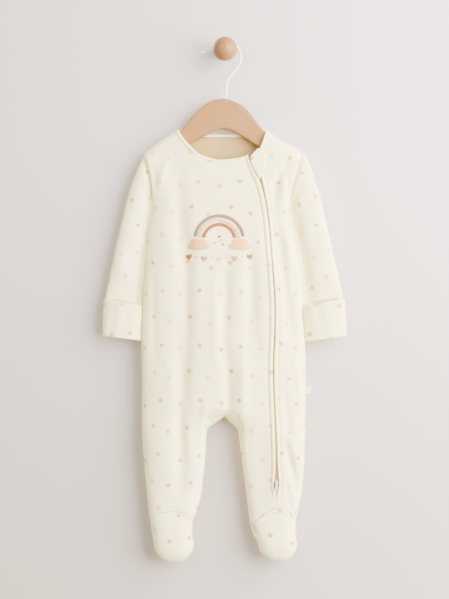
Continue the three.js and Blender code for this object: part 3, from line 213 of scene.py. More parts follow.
HANGER = table(
    "x z",
    (0.8, -66.9), (-11.1, -68), (-24.5, -72.8), (-40.4, -85.4), (-54, -103), (-66, -115.8),
    (-89, -131), (-98, -138.5), (-101, -145), (-98, -151), (-88, -149), (-65, -137.5), (-50.3, -129.7),
    (-25, -117), (-2.1, -108.6), (22, -118.5), (47.4, -134.3), (72, -145.5), (86, -150.5), (91.5, -145),
    (88, -138.2), (75.5, -130), (59, -116.8), (48, -104.2), (42.1, -96), (28.8, -80), (15.4, -71.4),
)
HOOK = table(
    "x z",
    (1.1, -66.2), (1.9, -52), (2.3, -45.3), (5.4, -37.9), (11, -31), (16.7, -24.2), (20.3, -18.1),
    (22.2, -9.5), (20.8, -1), (15.7, 7), (8, 11.3), (0, 12.1), (-8.5, 11.6), (-16, 8.3), (-22.3, 2.2),
    (-27.4, -2), (-30.4, -2.4),
)
KNOB = {"ball": 16.7, "ball_out": 38.0, "peg": 10.0}

ARCS = {"x": -8, "z": -264, "width": 5.2, "step": 6, "inner": 19}
CLOUDS = table("x z width height", (-36.5, -270, 32, 15), (20.5, -270, 32, 15))
HEARTS = table(
    "x z size turn",
    (-50, -287, 9.5, 8), (-29, -289.5, 9.5, -6), (-8, -290.5, 9.5, 5), (13, -289.5, 9.5, -8),
    (34, -287, 9.5, 6),
)
SPOTS = table(
    "x z size",
    (-8, -259, 3.2), (-14.5, -268, 2.4), (-2.4, -270, 2.6), (-39.5, -286.2, 1.8), (-18.5, -288.2, 1.8),
    (2.5, -288.2, 1.8), (23.5, -286.2, 1.8),
)


def clamp(value, low=0.0, high=1.0):
    return np.minimum(np.maximum(value, low), high)


def smoothstep(value, low, high):
    t = clamp((value - low) / (high - low))
    return t * t * (3 - 2 * t)


def mix(a, b, t):
    return a + (b - a) * t


def rows_of(columns):
    """The rows of a table, one after the other."""
    return zip(*columns.values())


def smooth_between(p0, p1, p2, p3, t):
    """Points between p1 and p2 on a smooth curve through all four."""
    return 0.5 * (2 * p1 + (p2 - p0) * t + (2 * p0 - 5 * p1 + 4 * p2 - p3) * t ** 2
                  + (3 * p1 - p0 - 3 * p2 + p3) * t ** 3)


def curve(rows, name_in, name_out):
    """A smooth curve through two columns of a table, level at its peaks."""
    order = np.argsort(rows[name_in])
    xs, ys = rows[name_in][order], rows[name_out][order]
    secants = np.diff(ys) / np.diff(xs)
    slopes = np.zeros(len(xs))
    slopes[0], slopes[-1] = secants[0], secants[-1]
    before, after = secants[:-1], secants[1:]
    same = before * after > 0
    slopes[1:-1][same] = 2 * before[same] * after[same] / (before[same] + after[same])

    def value(x):
        x = clamp(np.asarray(x, float), xs[0], xs[-1])
        i = np.clip(np.searchsorted(xs, x, side="right") - 1, 0, len(xs) - 2)
        span = xs[i + 1] - xs[i]
        t = (x - xs[i]) / span
        rise = ys[i + 1] - ys[i]
        bend = t * (1 - t) * ((1 - t) * (slopes[i] * span - rise) - t * (slopes[i + 1] * span - rise))
        return ys[i] + rise * t + bend
    return value


body_left, body_right = curve(BODY, "z", "left"), curve(BODY, "z", "right")
inner_left, inner_right = curve(INSEAM, "z", "left"), curve(INSEAM, "z", "right")
opening_left, opening_right = curve(OPENING, "z", "left"), curve(OPENING, "z", "right")
guard_left, guard_right = curve(GUARD, "z", "left"), curve(GUARD, "z", "right")
shoulder_z = curve(SHOULDER, "x", "z")
stitch_left = curve(STITCH_LEFT, "z", "away")
bulges = {"front": curve(BULGE, "z", "front"), "back": curve(BULGE, "z", "back")}


def leg_edges(side, z):
    toe = TOES[side]
    inner = inner_left(z) if side == "left" else inner_right(z)
    outer = body_left(z) if side == "left" else body_right(z)
    low = clamp((FOOT_CENTRE_LINE - z) / (FOOT_CENTRE_LINE - toe["tip"]))
    half = toe["half"] * np.sqrt(1 - low * low)
    start = np.where(low == 0, np.minimum(inner, outer), toe["centre"] - half)
    end = np.where(low == 0, np.maximum(inner, outer), toe["centre"] + half)
    return start, end


def crown(x, start, end):
    power = 2.6
    t = clamp(np.abs((2 * x - start - end) / np.maximum(end - start, 0.01)))
    return (1 - t ** power) ** (1 / power)


def toe_rounding(side, z):
    low = clamp((FOOT_CENTRE_LINE - z) / (FOOT_CENTRE_LINE - TOES[side]["tip"]))
    return (1 - low * low) ** 0.4


def armhole_half(hole, face, z):
    q = (2 * z - hole["top"] - hole["bottom"]) / (hole["top"] - hole["bottom"])
    return hole[face] * np.maximum(1 - q * q, 0) ** 0.45


def strokes(rows, x, z):
    height = np.zeros(np.shape(x))
    for x0, z0, x1, z1, width, size in rows_of(rows):
        dx, dz = x1 - x0, z1 - z0
        t = clamp(((x - x0) * dx + (z - z0) * dz) / (dx * dx + dz * dz))
        away = np.hypot(x - x0 - t * dx, z - z0 - t * dz) / width
        height += size * np.exp(-away * away) * np.sin(np.pi * (0.12 + 0.76 * t))
    return height


def from_line(line, x, z):
    """Distance from places to a polyline of (x, z) points, and how far along it the nearest point is."""
    best = np.full(np.shape(x), 1e9)
    run = np.zeros(np.shape(x))
    done = 0.0
    for (ax, az), (bx, bz) in zip(line[:-1], line[1:]):
        dx, dz = bx - ax, bz - az
        length = math.hypot(dx, dz)
        t = clamp(((x - ax) * dx + (z - az) * dz) / max(length * length, 1e-9))
        away = np.hypot(x - ax - t * dx, z - az - t * dz)
        nearer = away < best
        best = np.where(nearer, away, best)
        run = np.where(nearer, done + t * length, run)
        done += length
    return best, run


def middle(z):
    return MID + FOOT_REACH * smoothstep(-z, 640, 705)


def instep_rise(side, x, start, end):
    """Height of the seam across the foot above the ankle; the right one rises later on its inner side."""
    rise = crown(x, start, end)
    if side == "right":
        inner = clamp((start + end - 2 * x) / np.maximum(end - start, 0.01))
        rise = np.where(inner > 0, (1 - inner ** 1.3) ** (1 / 1.3), rise)
        rise = rise - 0.38 * smoothstep((2 * x - start - end) / np.maximum(end - start, 0.01), 0.7, 1.0)
    return TOES[side]["instep"] * rise


def foot_seam(side, xs, drop=0.0):
    start, end = leg_edges(side, np.array(ANKLE_LINE))
    z = ANKLE_LINE - drop + instep_rise(side, xs, start, end)
    outer = smoothstep((2 * xs - start - end) / (end - start), 0.5, 1.0) * (z < ANKLE_LINE)
    return np.stack([xs + outer * (leg_edges(side, z)[1] - end), z], axis=-1)


def gusset_seam(count, shrink=0.0, end_angle=0.0):
    angle = np.radians(np.linspace(180 + end_angle, -end_angle, count + 1))
    return np.stack([
        GUSSET["centre_x"] + (GUSSET["half_width"] - shrink) * np.cos(angle),
        GUSSET["centre_z"] + (GUSSET["rise"] - shrink) * np.sin(angle)], axis=-1)


def unevenness(x, z):
    """Low, wide swells of soft cloth."""
    return (0.34 * np.sin(x / 17.0 + 0.8 * np.sin(z / 31.0)) * np.sin(z / 43.0 + 1.3)
            + 0.20 * np.sin(x / 9.0 + z / 37.0 + 2.0) * np.sin(z / 19.0 + 0.6 * np.sin(x / 12.0))
            + 0.07 * np.sin(x / 4.1 + z / 15.0) * np.sin(z / 7.3 + x / 23.0 + 0.5))


def puckers(run, away, pitch, reach_mm, size):
    """Small ripples that start at a seam and die away from it."""
    ripple = np.sin(2 * np.pi * run / pitch + 1.7 * np.sin(run / 13.0)) * (0.65 + 0.35 * np.sin(run / 7.7))
    return size * ripple * np.exp(-(np.maximum(away, 0) / reach_mm) ** 1.4)


GUSSET_LINE = gusset_seam(24, 0.0, GUSSET["end_angle"])
FOOT_SEAMS = {"left": (0.1, 0.12), "right": (0.6, 1.2)}
FOOT_LINES = {
    side: foot_seam(side, np.linspace(*leg_edges(side, np.array(ANKLE_LINE)), 30))
    for side in TOES
}


def reach(face, x, z, fine=True):
    """How far the cloth's outer face stands from the wall."""
    x, z = np.broadcast_arrays(np.asarray(x, float), np.asarray(z, float))
    on_left = x < GUSSET["centre_x"]
    pick = lambda values: np.where(on_left, values["left"], values["right"])
    edges = {side: leg_edges(side, z) for side in TOES}
    start = pick({side: edges[side][0] for side in TOES})
    end = pick({side: edges[side][1] for side in TOES})
    rim = pick({side: armhole_half(ARMHOLES[side], face, z) for side in TOES})
    drop = clamp((shoulder_z(x) - z) / SHOULDER_ROUND)
    full = bulges[face](z) * np.sqrt(1 - (1 - drop) ** 2)
    leg_weight = smoothstep(-z, LEG_START, -SEAT_LINE)
    torso = mix(rim, full, crown(x, body_left(z), body_right(z)))
    leg = full * crown(x, start, end) * pick({side: toe_rounding(side, z) for side in TOES})
    half = mix(torso, leg, leg_weight)
    calm = np.minimum(1, half / 12) * smoothstep(shoulder_z(x) - z, 12, 40)
    half = half + calm * FOLD_DEPTH * strokes(FRONT_FOLDS if face == "front" else BACK_FOLDS, x, z)
    if fine:
        soft = np.minimum(1, half / 9) * smoothstep(shoulder_z(x) - z, 4, 24)
        creases = FRONT_CREASES if face == "front" else BACK_CREASES
        detail = 1.6 * strokes(creases, x, z) + 1.4 * unevenness(x, z)
        away, run = from_line(GUSSET_LINE, x, z)
        detail = detail - 0.7 * np.exp(-(away / 1.4) ** 2) + puckers(run, away, 6.5, 5, 0.3)
        for side in TOES:
            away, run = from_line(FOOT_LINES[side], x, z)
            above = z > ANKLE_LINE + instep_rise(side, x, *edges[side])
            depth, ridge = FOOT_SEAMS[side] if face == "front" else (0.5, 0.3)
            detail = detail + np.where(above, -0.8 * depth, ridge) * np.exp(-((away - 1.8) / 1.9) ** 2)
            detail = detail - depth * np.exp(-(away / 1.2) ** 2) + puckers(run, away, 5.2, 6, 0.34)
        half = half + soft * detail
        if face == "front":
            half = half + zip_relief(x, z)
    return middle(z) + half if face == "front" else middle(z) - half


def zip_relief(x, z):
    """Rolled edges, narrow welts and stitched grooves beside the front opening."""
    on_right = x > zip_centre(z)
    inside = smoothstep(-z, mix(141, 146, on_right), mix(146, 156, on_right))
    inside = inside * (1 - smoothstep(-z, -ROW_END - 6, -ROW_END + 4))
    left, right = opening_left(z) - x, x - opening_right(z)
    relief = np.zeros(np.shape(x))
    for away, run, line, size in ((left, zip_centre(z) - x, stitch_away("left", z), 1.75),
                                  (right, x - zip_centre(z), stitch_away("right", z), 1.4)):
        shape = 1.3 * np.exp(-((run - line * 0.5) / (line * 0.34 + 0.4)) ** 2)
        shape = shape - size * np.exp(-((run - line) / 1.05) ** 2) - 1.2 * np.exp(-(away / 0.75) ** 2)
        relief = relief + np.where(away > -0.01, shape, 0)
    return inside * relief


def zip_centre(z):
    return (opening_left(z) + opening_right(z)) / 2


def stitch_away(side, z):
    """Distance of the stitched line from the middle of the zip; the left line curves in to the zip's foot."""
    if side == "right":
        return np.full(np.shape(z), STITCH_RIGHT)
    return stitch_left(z)


def front_points(places, lift=0.0, fine=True):
    x, z = places[..., 0], places[..., 1]
    return np.stack([x, -reach("front", x, z, fine) - lift, z], axis=-1)


def back_points(places, lift=0.0, fine=True):
    x, z = places[..., 0], places[..., 1]
    return np.stack([x, -reach("back", x, z, fine) + lift, z], axis=-1)


def fill_rows(first, last, count, left_x, right_x, crowding=1.0):
    """Rows of places between two given rows, kept on the side edges."""
    v = ((np.arange(count + 1) / count) ** crowding)[:, None]
    x, z = mix(first[None, :, 0], last[None, :, 0], v), mix(first[None, :, 1], last[None, :, 1], v)
    u = np.linspace(0, 1, first.shape[0])[None, :]
    inner = np.ones((count + 1, 1))
    inner[0] = inner[-1] = 0
    left_shift = (left_x(z[:, :1]) - x[:, :1]) * inner
    right_shift = (right_x(z[:, -1:]) - x[:, -1:]) * inner
    return np.stack([x + (1 - u) * left_shift + u * right_shift, z], axis=-1)


def along(rows, at, offset=0.0):
    """Places on a smooth curve through a table at shares of its length, moved to one side of it."""
    knots = np.stack([rows["x"], rows["z"]], axis=-1)
    ends = np.concatenate([[2 * knots[0] - knots[1]], knots, [2 * knots[-1] - knots[-2]]])
    t = np.linspace(0, 1, 40, endpoint=False)[:, None]
    pieces = []
    for p0, p1, p2, p3 in zip(ends[:-3], ends[1:-2], ends[2:-1], ends[3:]):
        pieces.append(smooth_between(p0, p1, p2, p3, t))
    line = np.concatenate(pieces + [knots[-1:]])
    length = np.concatenate([[0], np.cumsum(np.hypot(*np.diff(line, axis=0).T))])
    at = np.asarray(at) * length[-1]
    point = np.stack([np.interp(at, length, line[:, i]) for i in (0, 1)], axis=-1)
    step = length[-1] * 0.004
    ahead = np.stack([np.interp(at + step, length, line[:, i]) for i in (0, 1)], axis=-1)
    behind = np.stack([np.interp(at - step, length, line[:, i]) for i in (0, 1)], axis=-1)
    tangent = (ahead - behind) / np.linalg.norm(ahead - behind, axis=-1, keepdims=True)
    return point + offset * np.stack([tangent[:, 1], -tangent[:, 0]], axis=-1)


def eased(count):
    return (1 - np.cos(np.pi * np.linspace(0, 1, count + 1))) / 2


def one_sided(count):
    return np.sin(np.pi / 2 * np.linspace(0, 1, count + 1))


def off_seam(points, shift):
    """Points on the middle plane are moved off it, so that front and back stay apart."""
    level = middle(points[..., 2])
    points[..., 1] = np.where(np.abs(-points[..., 1] - level) < 0.6, -level + shift, points[..., 1])
    return points


def let_out(x, start, end, left_share, right_share):
    return np.where(2 * x < start + end, -left_share, right_share) * (1 - crown(x, start, end))


def unrolled(face, points):
    """Where the cloth lies when laid flat: what turns away to the sides is let out."""
    x, z = points[..., 0], points[..., 2]
    torso = let_out(x, body_left(z), body_right(z), 0.8, 0.8)
    legs = np.where(x < GUSSET["centre_x"], let_out(x, *leg_edges("left", z), 0.8, 0.3),
                    let_out(x, *leg_edges("right", z), 0.3, 0.8))
    weight = smoothstep(-z, LEG_START, -SEAT_LINE)
    shift = 0 if face == "front" else 13
    return np.stack([x + shift + bulges[face](z) * mix(torso, legs, weight), z], axis=-1)


def grid_quads(rows, columns, wrap_rows=False, wrap_columns=True):
    """Four-sided faces of a grid of points, row by row."""
    r, c = np.meshgrid(np.arange(rows if wrap_rows else rows - 1),
                       np.arange(columns if wrap_columns else columns - 1), indexing="ij")
    below, beside = (r + 1) % rows, (c + 1) % columns
    return np.stack([r * columns + c, r * columns + beside, below * columns + beside, below * columns + c],
                    axis=-1).reshape(-1, 4)


class Shell:
    """A thin closed wall of cloth: outer face, inner face and a softly rounded rim."""

    def __init__(self, points, thickness, cells=None, wrap=False, outward=(0, -1, 0), inset=0.0, flat=None):
        rows, columns = points.shape[:2]
        quads = grid_quads(rows, columns, wrap_columns=wrap)
        if cells is not None:
            quads = quads[cells.reshape(-1)]
        places = points.reshape(-1, 3)
        normal = np.cross(places[quads[:, 2]] - places[quads[:, 0]],
                          places[quads[:, 3]] - places[quads[:, 1]])
        normals = np.zeros_like(places)
        for k in range(4):
            np.add.at(normals, quads[:, k], normal)
        if isinstance(outward, str):
            away = (points - points.mean(axis=1, keepdims=True)).reshape(-1, 3)
        else:
            away = np.broadcast_to(np.array(outward, float), places.shape)
        used = np.unique(quads)
        if (normals[used] * away[used]).sum() < 0:
            quads, normals = quads[:, ::-1], -normals
        normals[used] /= np.maximum(np.linalg.norm(normals[used], axis=1, keepdims=True), 1e-9)
        slot_of = np.full(len(places), -1)
        slot_of[used] = np.arange(len(used))
        quads = slot_of[quads]
        count = len(used)
        edges = np.concatenate([quads[:, [k, (k + 1) % 4]] for k in range(4)])
        key, back = edges[:, 0] * count + edges[:, 1], edges[:, 1] * count + edges[:, 0]
        border = edges[~np.isin(back, key)]
        tuck = np.zeros(count)
        tuck[np.unique(border)] = 0.3 * thickness
        base, along_normal = places[used], normals[used]
        outer = base - (inset + tuck)[:, None] * along_normal
        inner = base - (inset + thickness - tuck)[:, None] * along_normal
        rim = np.stack([border[:, 1], border[:, 0], border[:, 0] + count, border[:, 1] + count], axis=-1)
        self.vertices = np.concatenate([outer, inner])
        self.faces = np.concatenate([quads, quads[:, ::-1] + count, rim])
        self.side = np.repeat([0, 1, 0], [len(quads), len(quads), len(rim)])
        if flat is None:
            flat = points[..., [0, 2]]
        self.flat = np.tile(flat.reshape(-1, 2)[used], (2, 1))


def mesh_object(name, vertices, faces, materials, side=None, flat=None, smooth=True):
    mesh = bpy.data.meshes.new(name)
    mesh.from_pydata((np.asarray(vertices) * MM).tolist(), [], [list(map(int, f)) for f in faces])
    for material in materials:
        mesh.materials.append(material)
    if side is not None:
        mesh.polygons.foreach_set("material_index", np.asarray(side, dtype=np.int32))
    if flat is not None:
        layer = mesh.uv_layers.new(name="cloth")
        loops = np.zeros(len(mesh.loops), dtype=np.int32)
        mesh.loops.foreach_get("vertex_index", loops)
        layer.data.foreach_set("uv", (np.asarray(flat)[loops] / 100.0).astype(np.float32).ravel())
    mesh.polygons.foreach_set("use_smooth", np.full(len(mesh.polygons), smooth))
    mesh.update()
    obj = bpy.data.objects.new(name, mesh)
    bpy.context.scene.collection.objects.link(obj)
    return obj


def shell_object(name, shell, materials):
    return mesh_object(name, shell.vertices, shell.faces, materials, shell.side, shell.flat)


def hand_over(obj, nodes, body="root"):
    if nodes:
        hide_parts(*nodes)
    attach(obj, body)
    return obj


# Shader helpers


class Value:
    """A shader socket that takes part in sums."""

    def __init__(self, shader, socket):
        self.shader, self.socket = shader, socket

    def _math(self, kind, other=None, third=None):
        return self.shader.math(kind, self, other, third)

    def __add__(self, other):
        return self._math("ADD", other)

    def __radd__(self, other):
        return self._math("ADD", other)

    def __sub__(self, other):
        return self._math("SUBTRACT", other)

    def __rsub__(self, other):
        return self.shader.math("SUBTRACT", other, self)

    def __mul__(self, other):
        return self._math("MULTIPLY", other)

    def __rmul__(self, other):
        return self._math("MULTIPLY", other)

    def __truediv__(self, other):
        return self._math("DIVIDE", other)

    def __rtruediv__(self, other):
        return self.shader.math("DIVIDE", other, self)

    def __neg__(self):
        return self._math("MULTIPLY", -1.0)

    def fn(self, kind, other=None, third=None):
        return self._math(kind, other, third)


class Shader:
    """One material and the nodes in it."""

    def __init__(self, name, **constants):
        self.material = bpy.data.materials.new(name)
        self.material.use_nodes = True
        self.tree = self.material.node_tree
        self.surface = self.tree.nodes["Principled BSDF"]
        for key, value in constants.items():
            self.set(key.replace("_", " ").title().replace("Ior", "IOR"), value)

    def set(self, key, value):
        socket = self.surface.inputs[key]
        if isinstance(value, Value):
            self.tree.links.new(value.socket, socket)
        elif isinstance(value, (tuple, list)):
            socket.default_value = (*value[:3], 1.0)
        else:
            socket.default_value = value

    def node(self, kind, settings=None, output=0, **inputs):
        node = self.tree.nodes.new(kind)
        for key, value in (settings or {}).items():
            setattr(node, key, value)
        for key, value in inputs.items():
            socket = node.inputs[int(key[1:])] if key[0] == "i" and key[1:].isdigit() else node.inputs[key]
            if isinstance(value, Value):
                self.tree.links.new(value.socket, socket)
            elif isinstance(value, (tuple, list)) and socket.type == "RGBA":
                socket.default_value = (*value[:3], 1.0)
            else:
                socket.default_value = value
        return Value(self, node.outputs[output])

    def math(self, kind, a, b=None, c=None):
        inputs = {f"i{i}": v for i, v in enumerate((a, b, c)) if v is not None}
        return self.node("ShaderNodeMath", {"operation": kind}, **inputs)

    def cloth(self):
        """Place on the cloth in millimetres, as two values."""
        uv = self.node("ShaderNodeUVMap", {"uv_map": "cloth"})
        parts = self.tree.nodes.new("ShaderNodeSeparateXYZ")
        self.tree.links.new(uv.socket, parts.inputs[0])
        return Value(self, parts.outputs[0]) * 100.0, Value(self, parts.outputs[1]) * 100.0

    def place(self):
        """Place in the object in millimetres."""
        spot = self.node("ShaderNodeTexCoord", output=3)
        parts = self.tree.nodes.new("ShaderNodeSeparateXYZ")
        self.tree.links.new(spot.socket, parts.inputs[0])
        return [Value(self, parts.outputs[i]) * 1000.0 for i in range(3)]

    def vector(self, x, y, z=0.0):
        return self.node("ShaderNodeCombineXYZ", i0=x, i1=y, i2=z)

    def noise(self, vector, scale, detail=2.0, roughness=0.5):
        return self.node("ShaderNodeTexNoise", Vector=vector, Scale=scale, Detail=detail, Roughness=roughness)

    def mix(self, factor, a, b):
        return self.node("ShaderNodeMix", {"data_type": "RGBA"}, output=2, i0=factor, i6=a, i7=b)

    def range(self, value, low, high, out_low=0.0, out_high=1.0):
        return self.node("ShaderNodeMapRange", {"interpolation_type": "SMOOTHSTEP"}, i0=value, i1=low, i2=high,
                         i3=out_low, i4=out_high)

    def bump(self, height, strength, distance=0.001):
        normal = self.node("ShaderNodeBump", Strength=strength, Distance=distance, Height=height)
        self.set("Normal", normal)


def srgb(r, g, b):
    return tuple((c / 255 / 12.92) if c <= 10.3 else ((c / 255 + 0.055) / 1.055) ** 2.4 for c in (r, g, b))


def tinted(colour, factors):
    return tuple(c * f for c, f in zip(colour, factors))


def knit_height(shader, u, v, wale=0.95, course=0.72):
    """Columns of small loops, as on the face of single jersey."""
    slant = (u * (2 * math.pi / wale)).fn("SINE")
    loops = ((v + slant.fn("ABSOLUTE") * 0.22) * (2 * math.pi / course)).fn("SINE")
    return slant.fn("ABSOLUTE") * 0.6 + loops * 0.4


def jersey_material(settings, name, printed, tint=1.0):
    shader = Shader(name, roughness=0.92, sheen_weight=0.16, sheen_roughness=0.45, specular_ior_level=0.2)
    u, v = shader.cloth()
    spot = shader.vector(u / 1000.0, v / 1000.0)
    wide = shader.noise(spot, 22.0, 3.0)
    fine = shader.noise(spot, 900.0, 2.0)
    base = tuple(c * tint for c in settings.cloth_colour)
    warm = tinted(base, (0.985, 0.975, 0.945))
    colour = shader.mix(shader.range(wide, 0.35, 0.65), base, warm)
    colour = shader.mix(shader.range(fine, 0.3, 0.75, 0.0, 0.35), colour, tuple(c * 0.94 for c in base))
    if printed:
        mask, deep = star_print(shader, u, v, settings)
        ink = shader.mix(deep, tuple(settings.star_pale), tuple(settings.star_deep))
        thread = shader.range(fine, 0.25, 0.7, 1.0, 0.82)
        colour = shader.mix(mask * thread, colour, ink)
    shader.set("Base Color", colour)
    height = knit_height(shader, u, v) * 0.10 + shader.noise(spot, 260.0, 3.0) * 0.35
    shader.bump(height, 0.35, 0.0006)
    return shader.material


def star_print(shader, u, v, settings):
    """Small five-pointed stars on a brick lattice, each moved and turned a little."""
    pitch, row = 28.2, 37.8
    v_cells = (v + 487.9) / row + 0.5
    row_id = v_cells.fn("FLOOR")
    odd = (row_id * 0.5).fn("FRACT") * 2.0
    u_cells = (u + 91.6) / pitch + 0.5 + odd * 0.5
    column_id = u_cells.fn("FLOOR")
    lattice = shader.vector(column_id * 1.37 + 0.5, row_id * 2.11 + 0.25, 3.0)
    random = shader.node("ShaderNodeTexWhiteNoise", {"noise_dimensions": "3D"}, output=1, Vector=lattice)
    parts = shader.tree.nodes.new("ShaderNodeSeparateXYZ")
    shader.tree.links.new(random.socket, parts.inputs[0])
    r0, r1, r2 = (Value(shader, parts.outputs[i]) for i in range(3))
    alternate = (column_id * 0.5).fn("FRACT") * 2.0
    du = (u_cells.fn("FRACT") - 0.5) * pitch - (r0 - 0.5) * 6.0
    dv = (v_cells.fn("FRACT") - 0.5) * row - (alternate - 0.5) * -6.5 - (r1 - 0.5) * 5.0
    radius = (du * du + dv * dv).fn("SQRT")
    sector = 2 * math.pi / 5
    turned = (dv.fn("ARCTAN2", du) + r2 * 4.0 + 20.0) / sector
    fold = ((turned.fn("FRACT") - 0.5).fn("ABSOLUTE")) * sector
    tip = settings.star_size * 500.0
    notch = tip * 0.44
    half = sector / 2
    edge = (tip * notch * math.sin(half)) / (fold.fn("SINE") * tip + (half - fold).fn("SINE") * notch)
    size = 0.86 + r1 * 0.2
    mask = shader.range(edge * size - radius, -0.14, 0.14)
    return mask, shader.range(r2 + (1.0 - alternate) * 0.5, 0.45, 0.95)


def make_materials(settings):
    made = {}
    made["jersey"] = jersey_material(settings, "star print jersey", True)
    made["plain"] = jersey_material(settings, "jersey reverse", False, 0.97)

    shader = Shader("ribbed binding", roughness=0.9, sheen_weight=0.15, sheen_roughness=0.4,
                    specular_ior_level=0.2)
    u, v = shader.cloth()
    spot = shader.vector(u / 1000.0, v / 1000.0)
    tone = shader.range(shader.noise(spot, 40.0, 3.0), 0.3, 0.7)
    base = tuple(settings.cloth_colour)
    shader.set("Base Color", shader.mix(tone, base, tinted(base, (0.98, 0.965, 0.93))))
    ribs = (u * (2 * math.pi / 1.3)).fn("SINE")
    shader.bump(ribs * 0.2 + shader.noise(spot, 500.0, 2.0) * 0.3, 0.3, 0.0006)
    made["binding"] = shader.material

    shader = Shader("beige marl", roughness=0.92, sheen_weight=0.15, sheen_roughness=0.4,
                    specular_ior_level=0.2)
    u, v = shader.cloth()
    flecks = shader.noise(shader.vector(u / 1000.0, v / 1000.0 * 2.6), 620.0, 3.0, 0.65)
    clouds = shader.noise(shader.vector(u / 1000.0, v / 1000.0), 90.0, 3.0)
    colour = shader.mix(shader.range(flecks, 0.38, 0.62), srgb(150, 113, 58), srgb(206, 175, 113))
    colour = shader.mix(shader.range(clouds, 0.4, 0.7, 0.0, 0.35), colour, srgb(170, 135, 78))
    shader.set("Base Color", colour)
    shader.bump(knit_height(shader, u, v) * 0.15 + flecks * 0.4, 0.3, 0.0006)
    made["facing"] = shader.material

    shader = Shader("zip tape", roughness=0.75, specular_ior_level=0.3)
    u, v = shader.cloth()
    twill = ((u + v) * (2 * math.pi / 0.8)).fn("SINE")
    shader.set("Base Color", shader.mix(shader.range(twill, -0.8, 0.8), srgb(212, 160, 74), srgb(234, 186, 98)))
    shader.bump(twill, 0.25, 0.0003)
    made["tape"] = shader.material

    made["coil"] = plain_material("zip_coil", srgb(234, 188, 98), 0.45, srgb(216, 164, 78), 300.0)
    made["thread"] = plain_material("sewing thread", srgb(244, 229, 180), 0.7, srgb(226, 206, 154), 200.0)
    made["label"] = plain_material("satin ribbon", srgb(244, 233, 204), 0.45, srgb(236, 220, 184), 160.0)
    felt = {
        "caramel": srgb(150, 84, 34), "sand": srgb(182, 132, 72), "pink": srgb(248, 180, 140),
        "peach": srgb(208, 142, 78), "taupe": srgb(126, 102, 82), "cloud": srgb(238, 174, 102),
        "spot": srgb(44, 40, 46),
    }
    for name, colour in felt.items():
        made[name] = plain_material(f"{name} felt", colour, 0.9, tuple(c * 0.86 for c in colour), 520.0, 0.3)

    made["beech"] = beech_material("varnished beech", settings.beech_colour, False)
    made["knob"] = beech_material("oiled beech", settings.knob_colour, True)

    shader = Shader("white lacquer", roughness=0.28, coat_weight=0.3, coat_roughness=0.15)
    x, _, z = shader.place()
    wear = shader.noise(shader.vector(x / 1000.0, z / 1000.0, 0.2), 180.0, 2.0)
    shader.set("Base Color", shader.mix(shader.range(wear, 0.4, 0.7), srgb(246, 246, 243), srgb(238, 238, 234)))
    shader.set("Roughness", shader.range(wear, 0.3, 0.7, 0.22, 0.34))
    made["wire"] = shader.material
    made["tip"] = plain_material("pale plastic", srgb(228, 232, 228), 0.35, srgb(216, 222, 218), 90.0)

    shader = Shader("polished nickel", metallic=0.55, roughness=0.25, base_color=srgb(226, 225, 222))
    x, _, z = shader.place()
    scratches = shader.noise(shader.vector(x / 1000.0 * 4.0, z / 1000.0, 0.1), 900.0, 2.0)
    shader.set("Roughness", shader.range(scratches, 0.3, 0.7, 0.2, 0.38))
    # Painted highlight and shade: the base colour is near white down the slider's middle at x = 71.2 mm and dark
    # on its sides.
    off = (x - 71.2).fn("ABSOLUTE")
    shader.set("Base Color", shader.mix(shader.range(off, 1.5, 2.5), srgb(252, 250, 246), srgb(98, 94, 90)))
    made["nickel"] = shader.material
    return made


def plain_material(name, colour, roughness, second, scale, fuzz=0.0):
    shader = Shader(name, roughness=roughness, sheen_weight=fuzz, specular_ior_level=0.3)
    x, y, z = shader.place()
    spot = shader.vector(x / 1000.0, y / 1000.0, z / 1000.0)
    grain = shader.noise(spot, scale, 3.0)
    shader.set("Base Color", shader.mix(shader.range(grain, 0.35, 0.7), colour, second))
    shader.bump(grain, 0.15 + fuzz, 0.0004)
    return shader.material


def beech_material(name, colour, ball):
    shader = Shader(name, roughness=0.5, coat_weight=0.0 if ball else 0.12, coat_roughness=0.3,
                    specular_ior_level=0.35)
    x, y, z = shader.place()
    if ball:
        across, length = x * 0.55 + y * 0.83, z * 0.9 + x * 0.3
    else:
        side = x.fn("ABSOLUTE")
        length, across = side * 0.82 - z * 0.57, side * 0.57 + z * 0.82
    grain = shader.vector(length / 1000.0, across / 1000.0 * 9.0, y / 1000.0 * 5.0)
    streaks = shader.noise(grain, 30.0, 4.0, 0.6)
    pores = shader.vector(length / 1000.0, across / 1000.0 * 3.2, y / 1000.0 * 2.0)
    flecks = shader.noise(pores, 420.0, 1.0)
    base = tuple(colour)
    dark = tinted(base, (0.86, 0.8, 0.72))
    tone = shader.mix(shader.range(streaks, 0.36, 0.68), base, tinted(base, (0.88, 0.82, 0.76)))
    tone = shader.mix(shader.range(flecks, 0.56, 0.66, 0.0, 0.8), tone, dark)
    if not ball:
        joint = shader.range((x + 0.6).fn("ABSOLUTE"), 0.0, 0.5, 0.55, 0.0)
        tone = shader.mix(joint, tone, tuple(c * 0.6 for c in base))
    shader.set("Base Color", tone)
    shader.set("Roughness", shader.range(streaks, 0.3, 0.7, 0.42, 0.58))
    shader.bump(streaks + flecks * 0.3, 0.08, 0.0004)
    return shader.material


# Panels


